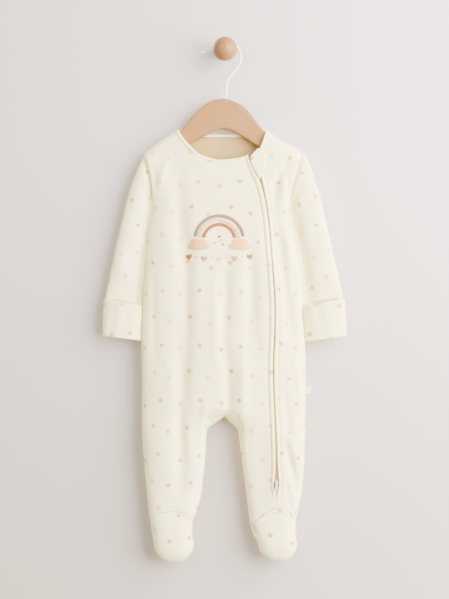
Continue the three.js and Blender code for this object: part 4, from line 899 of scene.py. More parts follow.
def front_main_grid():
    leg, arch_count, inner, welt = 40, 36, 24, 18
    columns = leg + arch_count + inner + welt
    shoulder = 26
    plain = columns - shoulder - welt
    neck_length = 112.0
    split = 1 - WELT_WIDTH / neck_length
    shares = np.concatenate([np.linspace(0, split, plain + 1)[:-1], np.linspace(split, 1, welt + 1)])
    neck = along(NECK_MAIN, shares, BAND - 0.5)
    neck[0, 1] = shoulder_z(neck[0, 0]) - SEAM
    corner = np.array([opening_left(PANEL_CORNER), PANEL_CORNER])
    tail = neck[plain:]
    share = np.linspace(0, 1, len(tail))[:, None] ** 2
    neck[plain:] = tail + (corner - tail[-1]) * share
    top = np.concatenate([shoulder_row(np.linspace(SHOULDER_ENDS[0], neck[0, 0], shoulder + 1)[:-1]), neck])

    arch = gusset_seam(arch_count)
    seat_z = GUSSET["centre_z"]
    left = mix(body_left(seat_z), arch[0, 0], eased(leg))
    edge = opening_left(seat_z)
    right = np.linspace(arch[-1, 0], edge - WELT_WIDTH, inner + 1)
    strip = np.linspace(edge - WELT_WIDTH, edge, welt + 1)
    seat = np.concatenate([level_row(left[:-1], seat_z), arch, level_row(right[1:], seat_z),
                           level_row(strip[1:], seat_z)])
    wide = seat[:columns - welt + 1]
    low = (wide[:, 0] - wide[0, 0]) / (wide[-1, 0] - wide[0, 0])
    u = mix(np.linspace(0, 1, len(wide)), low, 0.45)
    start, end = body_left(CHEST_LINE), opening_left(CHEST_LINE)
    chest_x = np.concatenate([mix(start, end - WELT_WIDTH, u), np.linspace(end - WELT_WIDTH, end, welt + 1)[1:]])
    chest = level_row(chest_x, CHEST_LINE)
    grid = np.concatenate([
        fill_panel(top, chest, 64, body_left, opening_left, welt, 1.7),
        fill_panel(chest, seat, 150, body_left, opening_left, welt)[1:]])
    return grid, seat, (leg, arch_count, inner, welt)


def fill_panel(first, last, count, left_x, right_x, welt, crowding=1.0, welt_left=False):
    """Rows of a panel whose strip beside the opening keeps its width."""
    split = welt if welt_left else first.shape[0] - 1 - welt
    between = (lambda z: left_x(z) + WELT_WIDTH) if welt_left else (lambda z: right_x(z) - WELT_WIDTH)
    near = fill_rows(first[:split + 1], last[:split + 1], count, left_x, between, crowding)
    far = fill_rows(first[split:], last[split:], count, between, right_x, crowding)
    return np.concatenate([near, far[:, 1:]], axis=1)


def level_row(xs, z):
    return np.stack([xs, np.full(len(xs), z)], axis=-1)


def shoulder_row(xs):
    """Places just under the shoulder's outline."""
    return np.stack([xs, shoulder_z(xs) - SEAM], axis=-1)


def with_legs(grid, left, right, seat, leg, arch_count):
    """A panel's rows down to the seat with the rows of both legs, and which cells of it are cloth."""
    body_rows, columns = grid.shape[0], grid.shape[1] - 1
    rows = body_rows + left.shape[0] - 1
    full = np.zeros((rows, columns + 1, 2))
    full[:body_rows] = grid
    full[body_rows:, :leg + 1] = left[1:]
    full[body_rows:, leg + 1:leg + arch_count] = seat[leg + 1:leg + arch_count]
    full[body_rows:, leg + arch_count:] = right[1:]
    cells = np.ones((rows - 1, columns), bool)
    cells[body_rows - 1:, leg:leg + arch_count] = False
    return full, cells


def panel_inner(side, z):
    low = clamp((z - GUSSET["centre_z"]) / GUSSET["rise"], -1, 0)
    half = GUSSET["half_width"] * np.sqrt(1 - low * low)
    if side == "left":
        return np.where(z < SEAT_LINE, inner_left(z), GUSSET["centre_x"] - half)
    return np.where(z < SEAT_LINE, inner_right(z), GUSSET["centre_x"] + half)


def build_front_main():
    grid, seat, (leg, arch_count, inner, welt) = front_main_grid()
    leg_rows, crowding = 84, 1.5
    start, end = leg_edges("left", np.array(ANKLE_LINE))
    ankle = foot_seam("left", mix(start, end, eased(leg)))
    left = fill_rows(seat[:leg + 1], ankle, leg_rows, body_left, lambda z: panel_inner("left", z), crowding)
    start, _ = leg_edges("right", np.array(ANKLE_LINE))
    edge = opening_left(-640.0)
    xs = np.concatenate([mix(start, edge - WELT_WIDTH, np.sin(np.pi / 2 * np.linspace(0, 1, inner + 1)) ** 1.2),
                         np.linspace(edge - WELT_WIDTH, edge, welt + 1)[1:]])
    ankle = foot_seam("right", xs)
    right = fill_panel(seat[leg + arch_count:], ankle, leg_rows, lambda z: panel_inner("right", z), opening_left,
                       welt, crowding)
    full, cells = with_legs(grid, left, right, seat, leg, arch_count)
    points = off_seam(front_points(full), -SEAM / 2)
    return Shell(points, CLOTH_WALL, cells, flat=unrolled("front", points))


def build_front_side():
    neck_count, welt, rest = 14, 16, 40
    columns = welt + rest
    neck = along(NECK_SIDE, np.linspace(0, 1, neck_count + 1), BAND - 0.5)
    neck[:, 1] -= 0.8 * np.linspace(1, 0, neck_count + 1)
    neck[-1, 1] = shoulder_z(neck[-1, 0]) - SEAM
    first = np.array([opening_right(-143.0), -143.0])
    lead = mix(first, neck[0], np.linspace(0, 1, 7)[:, None])[:-1]
    xs = np.linspace(neck[-1, 0], SHOULDER_ENDS[1], columns - neck_count - 6 + 1)[1:]
    top = np.concatenate([lead, neck, shoulder_row(xs)])

    def row_at(z):
        start, end = opening_right(z), body_right(z)
        xs = np.concatenate([np.linspace(start, start + WELT_WIDTH, welt + 1),
                             mix(start + WELT_WIDTH, end, one_sided(rest))[1:]])
        return level_row(xs, z)

    chest, seat = row_at(CHEST_LINE - 10), row_at(float(GUSSET["centre_z"]))
    start, end = opening_right(-640.0), leg_edges("right", np.array(ANKLE_LINE))[1]
    xs = np.concatenate([np.linspace(start, start + WELT_WIDTH, welt + 1),
                         mix(start + WELT_WIDTH, end, one_sided(rest))[1:]])
    ankle = foot_seam("right", xs)
    rows = np.concatenate([
        fill_rows(top, chest, 70, opening_right, body_right, 1.7),
        fill_panel(chest, seat, 146, opening_right, body_right, welt, 1.0, True)[1:],
        fill_panel(seat, ankle, 84, opening_right, body_right, welt, 1.5, True)[1:]])
    points = off_seam(front_points(rows), -SEAM / 2)
    return Shell(points, CLOTH_WALL, flat=unrolled("front", points))


def back_neck(count, offset):
    left, right = NECK_MAIN["x"][0] - 0.75 * offset, NECK_SIDE["x"][-1] + 0.75 * offset
    s = np.linspace(-1, 1, count + 1)
    x = mix(left, right, (s + 1) / 2)
    edge = min(float(shoulder_z(left)), float(shoulder_z(right)))
    level = mix(NECK_MAIN["z"][0] - BACK_NECK_DIP, edge, np.abs(s) ** 2.2)
    z = level - offset * (1 - np.abs(s) ** 6)
    z[0], z[-1] = shoulder_z(left) - SEAM, shoulder_z(right) - SEAM
    return np.stack([x, z], axis=-1)


def build_back():
    leg, arch_count, shoulder = 34, 34, 20
    columns = 2 * leg + arch_count
    neck = back_neck(columns - 2 * shoulder, BAND + SEAM + 0.3)
    top = np.concatenate([shoulder_row(np.linspace(SHOULDER_ENDS[0], neck[0, 0], shoulder + 1)[:-1]), neck,
                          shoulder_row(np.linspace(neck[-1, 0], SHOULDER_ENDS[1], shoulder + 1)[1:])])
    arch = gusset_seam(arch_count)
    seat_z = float(GUSSET["centre_z"])
    left = mix(body_left(seat_z), arch[0, 0], eased(leg))
    right = mix(arch[-1, 0], body_right(seat_z), eased(leg))
    seat = np.concatenate([level_row(left[:-1], seat_z), arch, level_row(right[1:], seat_z)])
    low = (seat[:, 0] - seat[0, 0]) / (seat[-1, 0] - seat[0, 0])
    chest_x = mix(body_left(CHEST_LINE), body_right(CHEST_LINE), mix(np.linspace(0, 1, columns + 1), low, 0.45))
    chest = level_row(chest_x, CHEST_LINE)
    grid = np.concatenate([fill_rows(top, chest, 56, body_left, body_right, 1.7),
                           fill_rows(chest, seat, 120, body_left, body_right)[1:]])
    leg_rows = 62
    ankles = []
    for side in ("left", "right"):
        start, end = leg_edges(side, np.array(ANKLE_LINE))
        ankles.append(level_row(mix(start, end, eased(leg)), ANKLE_LINE))
    low_left = fill_rows(seat[:leg + 1], ankles[0], leg_rows, body_left, lambda z: panel_inner("left", z), 1.5)
    low_right = fill_rows(seat[leg + arch_count:], ankles[1], leg_rows, lambda z: panel_inner("right", z),
                          body_right, 1.5)
    full, cells = with_legs(grid, low_left, low_right, seat, leg, arch_count)
    points = off_seam(back_points(full), SEAM / 2)
    return Shell(points, CLOTH_WALL, cells, outward=(0, 1, 0), flat=unrolled("back", points))


def build_gusset():
    count, across = 60, 26
    panel = gusset_seam(count, 0.0, GUSSET["end_angle"])
    seam = gusset_seam(count, 0.15, GUSSET["end_angle"])
    ridge = along(GUSSET_RIDGE, np.linspace(0, 1, count + 1))
    front_y = np.minimum(-reach("front", panel[:, 0], panel[:, 1]) + 0.1, -MID - 1.2)
    back_y = np.maximum(-reach("back", panel[:, 0], panel[:, 1]) - 0.1, -MID + 1.2)
    front = np.stack([seam[:, 0], front_y, seam[:, 1]], axis=-1)
    back = np.stack([seam[:, 0], back_y, seam[:, 1]], axis=-1)
    under = np.stack([ridge[:, 0], np.full(count + 1, -MID), ridge[:, 1]], axis=-1)
    s = np.linspace(0, 1, across + 1)[None, :, None]
    grid = (front[:, None] * (1 - s) * (1 - 2 * s) + under[:, None] * 4 * s * (1 - s)
            + back[:, None] * s * (2 * s - 1))
    grid[..., 2] += 0.35 * np.sin(grid[..., 0] / 3.4 + grid[..., 1] / 5.0) * np.sin(np.pi * s[..., 0])
    return Shell(grid, CLOTH_WALL, outward=(0, 0, -1))


# Sleeves, cuffs and feet


def ring_points(out, inn, angle, front, back, sink=0.0, lean=0.0):
    """A flattened ring of cloth from its outer to its inner edge, sinking more gently to the inner one."""
    c, s = np.cos(angle), np.sin(angle)
    front = front * (1 - lean * (1 - smoothstep(c, -1.0, 0.6)))
    half = np.abs(s) ** (0.9 + sink * smoothstep(-c, -0.4, 0.9))
    x = (out[0] + inn[0] + (out[0] - inn[0]) * c) / 2
    z = (out[1] + inn[1] + (out[1] - inn[1]) * c) / 2
    return np.stack([x, np.where(s >= 0, -MID - front * half, -MID + back * half), z], axis=-1)


def smooth_rows(rings, count):
    """Rings between given rings, on smooth curves through them."""
    k = len(rings)
    ends = np.concatenate([[2 * rings[0] - rings[1]], rings, [2 * rings[-1] - rings[-2]]])
    at = np.linspace(0, k - 1, count + 1)
    i = np.minimum(at.astype(int), k - 2)
    t = (at - i)[:, None, None]
    return smooth_between(ends[i], ends[i + 1], ends[i + 2], ends[i + 3], t), at / (k - 1)


def build_sleeve(side):
    hole, rows = ARMHOLES[side], SLEEVES[side]
    edge = body_left if side == "left" else body_right
    away, lean = (-1, 0.6) if side == "left" else (1, 0.15)
    angle = 2 * np.pi * np.arange(112) / 112
    flank = np.abs(np.sin(angle))
    z = mix(hole["bottom"], hole["top"], (1 + np.cos(angle)) / 2)
    y = np.where(np.sin(angle) >= 0, -MID - armhole_half(hole, "front", z), -MID + armhole_half(hole, "back", z))
    rings = [np.stack([edge(z) - away * 1.6, y, z], axis=-1)]
    for out_x, out_z, in_z, tuck, swell in rows_of(rows):
        inner = (edge(in_z) + away * tuck, in_z)
        rings.append(ring_points((out_x, out_z), inner, angle, swell, swell + 0.8, 4.6, lean))
    grid, v = smooth_rows(np.array(rings), 170)
    fold = np.zeros((len(v), len(angle)))
    for at, turn, width, height in rows_of(SLEEVE_FOLDS):
        facing = np.maximum(0, np.cos(angle - np.radians(turn)))[None, :] ** 2
        fold += height * np.exp(-((v[:, None] - at) / width) ** 2) * facing
    run, girth = v[:, None] * 210, angle[None, :] * 17
    fold += 0.5 * np.sin(girth / 7.0 + 0.7 * np.sin(run / 23.0)) * np.sin(run / 21.0 + 0.4) * flank
    fold += 0.3 * np.sin(run / 8.0 + girth / 12.0) * flank * smoothstep(v[:, None], 0.05, 0.3)
    seam_ripple = puckers(girth, v[:, None] * 210 - 1.5, 6.0, 7, 0.35) * flank
    dip = -3.4 * np.exp(-((v[:, None] * 210 - 7) / 9) ** 2) * flank
    ends = np.minimum(1, v[:, None] * 9)
    depth = fold * ends + seam_ripple + dip
    grid[..., 1] += np.where(np.sin(angle)[None, :] >= 0, -1, 1) * depth
    lip = {key: CUFFS[side][key][0] for key in ("out_x", "out_z", "in_x", "in_z")}
    t = (grid[..., 0] - lip["out_x"]) / (lip["in_x"] - lip["out_x"])
    above = grid[..., 2] - mix(lip["out_z"], lip["in_z"], clamp(t))
    pinch = 0.72 * np.exp(-(clamp(above - 0.5, 0, 60) / 2.4) ** 2) * smoothstep(t, 0.0, 0.35)
    grid[..., 1] = -MID + (grid[..., 1] + MID) * (1 - pinch)
    flat = sleeve_flat(grid, 13 if side == "left" else -9)
    return Shell(grid, CLOTH_WALL, wrap=True, outward="away", flat=flat)


def sleeve_flat(grid, shift):
    """Where the sleeve's cloth lies when laid flat along its own length."""
    centres = grid[:, :, [0, 2]].mean(axis=1)
    axis = (centres[-1] - centres[0]) / np.linalg.norm(centres[-1] - centres[0])
    place = grid[..., [0, 2]] - centres[0]
    u = place @ np.array([-axis[1], axis[0]])
    deep = np.abs(grid[..., 1] + MID)
    u = u + 0.75 * np.tanh(u / 8) * (deep.max(axis=1, keepdims=True) - deep)
    return np.stack([u + shift + np.where(grid[..., 1] > -MID, 80, 0), -place @ axis], axis=-1)


def build_cuff(side):
    rows = CUFFS[side]
    angle = 2 * np.pi * np.arange(120) / 120
    cloth = 1.3
    thick = 2 * cloth + 0.2
    columns = ("out_x", "out_z", "in_x", "in_z", "swell")

    def ring(at, inset, drop=0.0):
        out_x, out_z, in_x, in_z, swell = (np.interp(at, range(4), rows[k]) for k in columns)
        axis = np.array([in_x - out_x, in_z - out_z])
        axis /= np.linalg.norm(axis)
        out, inn = np.array([out_x, out_z - drop]) + axis * inset, np.array([in_x, in_z - drop]) - axis * inset
        half = swell - inset
        if inset < thick / 2:
            share = at / 3
            half = half + 0.45 * np.sin(angle * 5 + 1.2) * (1 - share) + 0.3 * np.sin(angle * 9 + share * 3)
        return ring_points(out, inn, angle, half, half)

    path = [(at, 0.0, 0.0) for at in np.linspace(0.03, 2.96, 30)]
    path += [(3.0, thick / 2 * (1 - math.cos(a)), 0.7 * math.sin(a)) for a in np.linspace(0.15, 3.0, 7)]
    path += [(at, thick, 0.0) for at in np.linspace(2.9, 1.1, 10)]
    path += [(1.0, thick + 0.6, 1.5), (1.0, cloth, 1.5)]
    path += [(at, cloth, 0.0) for at in np.linspace(0.9, 0.04, 8)]
    path += [(0.0, cloth * (1 + math.cos(a)) / 2, -0.45 * math.sin(a)) for a in np.linspace(0.3, 2.9, 5)]
    rings = np.array([ring(*step) for step in path])
    turns = len(angle)
    faces = grid_quads(len(rings), turns, wrap_rows=True)
    vertices = rings.reshape(-1, 3)
    if signed_volume(vertices, faces) < 0:
        faces = faces[:, ::-1]
    shift = 20 if side == "left" else -27
    run = np.array([at * 16.5 + (120 if inset > cloth else 0) for at, inset, _ in path])
    turn = np.where(np.sin(angle) >= 0, 0, 80)
    flat = np.stack(np.broadcast_arrays(np.cos(angle)[None, :] * 26 + turn[None, :] + shift, -run[:, None] - 28),
                    axis=-1)
    inside = np.array([int(inset > cloth + 0.2 or (inset >= cloth and at < 1.01)) for at, inset, _ in path])
    return vertices, faces, np.repeat(inside, turns), flat.reshape(-1, 2)


def signed_volume(vertices, faces):
    a, b, c, d = (vertices[faces[:, k]] for k in range(4))
    return float((a * np.cross(b, c)).sum() + (a * np.cross(c, d)).sum())


def toe_edge(side, columns):
    toe = TOES[side]
    angle = np.radians(mix(-78, 78, eased(columns)))
    return np.stack([toe["centre"] + toe["half"] * np.sin(angle),
                     FOOT_CENTRE_LINE - (FOOT_CENTRE_LINE - toe["tip"]) * np.cos(angle)], axis=-1)


def build_foot(side, top):
    columns, count = 56, 54
    start, end = leg_edges(side, np.array(ANKLE_LINE - (0 if top else 0.1)))
    xs = mix(start, end, eased(columns))
    first = foot_seam(side, xs, 0.1) if top else level_row(xs, ANKLE_LINE - 0.1)
    rows = fill_rows(first, toe_edge(side, columns), count, lambda z: leg_edges(side, z)[0],
                     lambda z: leg_edges(side, z)[1])
    points = front_points(rows) if top else back_points(rows)
    outward = (0, -1, 0) if top else (0, 1, 0)
    return Shell(off_seam(points, (-1 if top else 1) * SEAM / 2), CLOTH_WALL, outward=outward)


# Neck


def build_front_binding(rows, count, crowding):
    at = np.linspace(0, 1, count + 1) ** crowding
    offsets = np.linspace(0, BAND, 9)
    grid = []
    for offset in offsets:
        places = along(rows, at, offset)
        places[:, 1] = np.minimum(places[:, 1], shoulder_z(places[:, 0]) - SEAM)
        roll = 0.15 + 0.3 * math.sin(math.pi * min(1, offset / BAND * 1.15))
        roll -= 0.4 * math.exp(-(offset / 0.6) ** 2)
        points = front_points(places, roll)
        near = -points[:, 1] < MID + 1.6
        points[near, 1] = -MID - SEAM
        grid.append(points)
    run = at * 110
    flat = np.stack(np.broadcast_arrays(run[None, :], offsets[:, None]), axis=-1)
    return Shell(np.array(grid), 2.2, flat=flat)


def build_back_binding():
    count = 70
    offsets = np.linspace(0, BAND, 8)
    grid = []
    for offset in offsets:
        points = back_points(back_neck(count, offset), 0.35 + 0.4 * math.sin(math.pi * offset / BAND))
        near = -points[:, 1] > MID - 1.6
        points[near, 1] = -MID + SEAM
        grid.append(points)
    flat = np.stack(np.broadcast_arrays(np.linspace(0, 130, count + 1)[None, :], offsets[:, None]), axis=-1)
    return Shell(np.array(grid), 2.2, outward=(0, 1, 0), flat=flat)


def build_facing():
    count, rows = 80, 34
    top = back_neck(count, BAND + SEAM)[2:-2]
    s = np.linspace(-1, 1, count + 1)[2:-2]
    low = mix(top[:, 1] - 9, FACING_BOTTOM, np.sqrt(1 - s * s))
    v = np.linspace(0, 1, rows + 1)[:, None]
    places = np.stack([np.broadcast_to(top[:, 0], (rows + 1, len(s))),
                       mix(top[None, :, 1], low[None, :], v)], axis=-1)
    return Shell(back_points(places), 1.0, outward=(0, 1, 0), inset=2.3)


def build_guard():
    """A leaf-shaped flap with a rolled, stitched edge, sewn in at the top of the zip."""
    z = np.linspace(-136.4, -178.8, 80)
    x = mix(guard_left(z)[:, None], guard_right(z)[:, None], np.linspace(0, 1, 45)[None, :])
    z = np.broadcast_to(z[:, None], x.shape)
    outline = np.concatenate([np.stack([x[:, k], z[:, k]], axis=-1)[::step] for k, step in ((0, 1), (-1, -1))])
    away, _ = from_line(np.concatenate([outline, outline[:1]])[::2], x, z)
    lift = 1.3 + 1.3 * (1 - np.exp(-(away / 1.1) ** 2)) - 0.6 * np.exp(-((away - 3.1) / 0.7) ** 2)
    lift = lift + 0.25 * np.sin(x / 3.1) * np.sin(z / 4.7)
    return Shell(np.stack([x, -reach("front", x, z, False) - lift, z], axis=-1), 1.3)


def build_tape(side):
    z = np.linspace(ZIP_TOP, ZIP_END - 7, 200)
    centre = zip_centre(z)
    offsets = np.array([0.15, 0.8, 1.6, 3.0, 5.0, 7.0, 9.0]) * (-1 if side == "left" else 1)
    x = centre[:, None] + offsets[None, :]
    zz = np.broadcast_to(z[:, None], x.shape)
    level = reach("front", centre, z, False)[:, None]
    side_level = reach("front", x, zz, False)
    points = np.stack([x, -np.minimum(level, side_level), zz], axis=-1)
    return Shell(points, 1.0, inset=2.3)


# Repeated pieces along paths, by Geometry Nodes


def repeat_tree():
    """Copies of one small piece at even steps along every line of a mesh."""
    tree = bpy.data.node_groups.new("repeat along lines", "GeometryNodeTree")
    face = tree.interface
    face.new_socket("Lines", in_out="INPUT", socket_type="NodeSocketGeometry")
    face.new_socket("Piece", in_out="INPUT", socket_type="NodeSocketObject")
    step = face.new_socket("Step", in_out="INPUT", socket_type="NodeSocketFloat")
    step.subtype = "DISTANCE"
    face.new_socket("Size Change", in_out="INPUT", socket_type="NodeSocketFloat")
    face.new_socket("Turn Change", in_out="INPUT", socket_type="NodeSocketFloat")
    face.new_socket("Seed", in_out="INPUT", socket_type="NodeSocketInt")
    face.new_socket("Material", in_out="INPUT", socket_type="NodeSocketMaterial")
    face.new_socket("Pieces", in_out="OUTPUT", socket_type="NodeSocketGeometry")

    def node(kind, links=None, **settings):
        made = tree.nodes.new(kind)
        for key, value in settings.items():
            setattr(made, key, value)
        for key, source in (links or {}).items():
            socket = made.inputs[key]
            if isinstance(source, bpy.types.NodeSocket):
                tree.links.new(source, socket)
            else:
                socket.default_value = source
        return made

    start = node("NodeGroupInput")
    lines = node("GeometryNodeMeshToCurve", {"Mesh": start.outputs["Lines"]})
    spaced = node("GeometryNodeResampleCurve", {"Curve": lines.outputs[0], "Length": start.outputs["Step"]},
                  mode="LENGTH")
    tangent = node("GeometryNodeInputTangent")
    up = node("GeometryNodeInputNamedAttribute", {"Name": "outward"}, data_type="FLOAT_VECTOR")
    jitter = node("FunctionNodeRandomValue", {"Seed": start.outputs["Seed"]}, data_type="FLOAT")
    centred = node("ShaderNodeMath", {0: jitter.outputs[1], 1: 0.5}, operation="SUBTRACT")
    grown = node("ShaderNodeMath", {0: centred.outputs[0], 1: start.outputs["Size Change"], 2: 1.0},
                 operation="MULTIPLY_ADD")
    angle = node("ShaderNodeMath", {0: centred.outputs[0], 1: start.outputs["Turn Change"]}, operation="MULTIPLY")
    first = node("FunctionNodeAlignRotationToVector", {"Vector": tangent.outputs[0]}, axis="X")
    second = node("FunctionNodeAlignRotationToVector",
                  {"Rotation": first.outputs[0], "Vector": up.outputs[0]}, axis="Z", pivot_axis="X")
    wobble = node("FunctionNodeAxisAngleToRotation", {"Axis": (0.0, 0.0, 1.0), "Angle": angle.outputs[0]})
    turned = node("FunctionNodeRotateRotation", {"Rotation": second.outputs[0], "Rotate By": wobble.outputs[0]},
                  rotation_space="LOCAL")
    piece = node("GeometryNodeObjectInfo", {"Object": start.outputs["Piece"]})
    size = node("ShaderNodeCombineXYZ", {0: grown.outputs[0], 1: grown.outputs[0], 2: 1.0})
    copies = node("GeometryNodeInstanceOnPoints", {
        "Points": spaced.outputs[0], "Instance": piece.outputs["Geometry"], "Rotation": turned.outputs[0],
        "Scale": size.outputs[0]})
    real = node("GeometryNodeRealizeInstances", {"Geometry": copies.outputs[0]})
    painted = node("GeometryNodeSetMaterial", {"Geometry": real.outputs[0], "Material": start.outputs["Material"]})
    end = node("NodeGroupOutput")
    tree.links.new(painted.outputs[0], end.inputs[0])
    return tree


def bead(name, length, width, height, turns=8, rings=5):
    """A small rounded bar, its length along X."""
    vertices, faces = [(-length / 2, 0, 0)], []
    for k in range(1, rings):
        a = math.pi * k / rings
        for i in range(turns):
            b = 2 * math.pi * i / turns
            vertices.append((-length / 2 * math.cos(a), width / 2 * math.sin(a) ** 0.6 * math.cos(b),
                             height / 2 * math.sin(a) ** 0.6 * math.sin(b)))
    vertices.append((length / 2, 0, 0))
    last = len(vertices) - 1
    for i in range(turns):
        j = (i + 1) % turns
        faces.append((0, 1 + j, 1 + i))
        for k in range(rings - 2):
            a, b = 1 + k * turns, 1 + (k + 1) * turns
            faces.append((a + i, a + j, b + j, b + i))
        faces.append((last, last - turns + i, last - turns + j))
    obj = mesh_object(name, vertices, faces, [])
    if obj.data.polygons and sum(p.normal.dot(p.center) for p in obj.data.polygons) < 0:
        obj.data.flip_normals()
    return obj


def repeat_along(name, lines, piece, step, material, size_change=0.15, turn_change=0.12, seed=7):
    """lines: lists of points in millimetres, each with its outward direction."""
    vertices, edges, outward = [], [], []
    for points, normals in lines:
        start = len(vertices)
        vertices += [tuple(p) for p in points]
        outward += [tuple(n) for n in normals]
        edges += [(start + i, start + i + 1) for i in range(len(points) - 1)]
    mesh = bpy.data.meshes.new(name + " path")
    mesh.from_pydata((np.array(vertices) * MM).tolist(), edges, [])
    layer = mesh.attributes.new("outward", "FLOAT_VECTOR", "POINT")
    layer.data.foreach_set("vector", np.array(outward, dtype=np.float32).ravel())
    obj = bpy.data.objects.new(name, mesh)
    bpy.context.scene.collection.objects.link(obj)
    tree = bpy.data.node_groups.get("repeat along lines") or repeat_tree()
    modifier = obj.modifiers.new("repeat", "NODES")
    modifier.node_group = tree
    values = {"Piece": piece, "Step": step * MM, "Size Change": size_change, "Turn Change": turn_change,
              "Seed": seed, "Material": material}
    for item in tree.interface.items_tree:
        if item.in_out == "INPUT" and item.name in values:
            modifier[item.identifier] = values[item.name]
    graph = bpy.context.evaluated_depsgraph_get()
    made = bpy.data.meshes.new_from_object(obj.evaluated_get(graph))
    obj.modifiers.clear()
    obj.data = made
    if len(made.polygons) == 0:
        raise RuntimeError(f"{name} has no pieces")
    made.polygons.foreach_set("use_smooth", np.full(len(made.polygons), True))
    return obj


def front_line(places, lift=0.0):
    """Points on the front and their outward directions."""
    points = front_points(places, lift)
    e = 0.6
    dx = reach("front", places[:, 0] + e, places[:, 1]) - reach("front", places[:, 0] - e, places[:, 1])
    dz = reach("front", places[:, 0], places[:, 1] + e) - reach("front", places[:, 0], places[:, 1] - e)
    normals = np.stack([-dx / (2 * e), -np.ones(len(dx)), -dz / (2 * e)], axis=-1)
    return points, normals / np.linalg.norm(normals, axis=1, keepdims=True)


# Hard pieces


def closed_curve(rows, count):
    knots = np.stack([rows["x"], rows["z"]], axis=-1)
    k = len(knots)
    chord = np.sqrt(np.linalg.norm(np.roll(knots, -1, axis=0) - knots, axis=1))
    fine = []
    for i in range(k):
        p0, p1, p2, p3 = (knots[(i + j - 1) % k] for j in range(4))
        d0, d1, d2 = chord[i - 1], chord[i], chord[(i + 1) % k]
        m1 = (p2 - p1) + d1 * ((p1 - p0) / d0 - (p2 - p0) / (d0 + d1))
        m2 = (p2 - p1) + d1 * ((p3 - p2) / d2 - (p3 - p1) / (d1 + d2))
        t = np.linspace(0, 1, 24, endpoint=False)[:, None]
        fine.append((2 * t ** 3 - 3 * t ** 2 + 1) * p1 + (t ** 3 - 2 * t ** 2 + t) * m1
                    + (-2 * t ** 3 + 3 * t ** 2) * p2 + (t ** 3 - t ** 2) * m2)
    line = np.concatenate(fine + [knots[:1]])
    length = np.concatenate([[0], np.cumsum(np.linalg.norm(np.diff(line, axis=0), axis=1))])
    even = np.linspace(0, length[-1], count, endpoint=False)
    return np.stack([np.interp(even, length, line[:, i]) for i in (0, 1)], axis=-1)


def build_hanger(made):
    thick, round_mm, steps = 10.0, 2.8, 9
    outline = closed_curve(HANGER, 260)
    tangent = np.roll(outline, -1, axis=0) - np.roll(outline, 1, axis=0)
    tangent /= np.linalg.norm(tangent, axis=1, keepdims=True)
    normal = np.stack([tangent[:, 1], -tangent[:, 0]], axis=-1)
    centre = outline.mean(axis=0)
    if ((outline - centre) * normal).sum() < 0:
        normal = -normal
    rings = []
    angles = np.linspace(0, np.pi / 2, steps + 1)
    for sign in (-1, 1):
        levels = angles[::-1] if sign < 0 else angles
        for a in levels:
            inset = round_mm * (1 - math.cos(a))
            y = -MID + sign * (thick / 2 - round_mm + round_mm * math.sin(a))
            place = outline - normal * inset * 0.92
            rings.append(np.stack([place[:, 0], np.full(len(place), y), place[:, 1]], axis=-1))
    return capped_tube("hanger", np.array(rings), made["beech"])


def outward_check(obj):
    """Turns the faces over if the closed mesh is inside out."""
    mesh = obj.data
    volume = 0.0
    for polygon in mesh.polygons:
        volume += polygon.center.dot(polygon.normal) * polygon.area
    if volume < 0:
        mesh.flip_normals()


def capped_tube(name, rings, material, flipped=False):
    """A closed solid from rings of points, with a flat face at each end."""
    count, turns = rings.shape[:2]
    ends = [list(range(turns - 1, -1, -1)), [(count - 1) * turns + i for i in range(turns)]]
    if flipped:
        ends = [end[::-1] for end in ends]
    obj = mesh_object(name, rings.reshape(-1, 3), grid_quads(count, turns).tolist() + ends, [material])
    outward_check(obj)
    return obj


def build_hook(made):
    line = along(HOOK, np.linspace(0, 1, 181))
    tangent = np.gradient(line, axis=0)
    tangent /= np.linalg.norm(tangent, axis=1, keepdims=True)
    side = np.stack([tangent[:, 1], np.zeros(len(line)), -tangent[:, 0]], axis=-1)
    turns = 18
    a = 2 * np.pi * np.arange(turns) / turns
    base = np.stack([line[:, 0], np.full(len(line), -MID), line[:, 1]], axis=-1)
    depth = np.array([0.0, 1.0, 0.0])
    rings = base[:, None] + 1.5 * (np.cos(a)[None, :, None] * side[:, None] + np.sin(a)[None, :, None] * depth)
    return capped_tube("hanger_hook", rings, made["wire"])


def lathe(name, profile, axis_place, material, turns=96):
    """Turns a profile of (radius, distance from the wall) about an axis straight out of the wall."""
    a = 2 * np.pi * np.arange(turns) / turns
    x, z = axis_place
    rings = [np.stack([x + r * np.cos(a), np.full(turns, -d), z + r * np.sin(a)], axis=-1) for r, d in profile]
    return capped_tube(name, np.array(rings), material, True)


# Chest design


def disc_patch(name, outline, centre, height, material, rings=9):
    """A soft raised patch on the front, from an outline of (x, z) points."""
    shares = np.sin(np.linspace(0, np.pi / 2, rings + 1))[1:]
    places = centre + (outline[None] - centre) * shares[:, None, None]
    lift = 0.15 + height * (1 - shares ** 5)
    x, z = places[..., 0], places[..., 1]
    top = np.stack([x, -reach("front", x, z) - lift[:, None], z], axis=-1)
    cx, cz = centre
    middle_point = np.array([[cx, -reach("front", cx, cz) - 0.15 - height, cz]])
    foot = top[-1].copy()
    foot[:, 1] += 0.9
    turns = outline.shape[0]
    under = [[cx, middle_point[0, 1] + height + 1.0, cz]]
    vertices = np.concatenate([middle_point, top.reshape(-1, 3), foot, under])
    faces = []
    bottom = len(vertices) - 1
    for i in range(turns):
        j = (i + 1) % turns
        faces.append((0, 1 + i, 1 + j))
        for k in range(rings):
            a, b = 1 + k * turns, 1 + (k + 1) * turns
            faces.append((a + i, b + i, b + j, a + j))
        faces.append((1 + rings * turns + i, bottom, 1 + rings * turns + j))
    obj = mesh_object(name, vertices, faces, [material])
    outward_check(obj)
    return obj


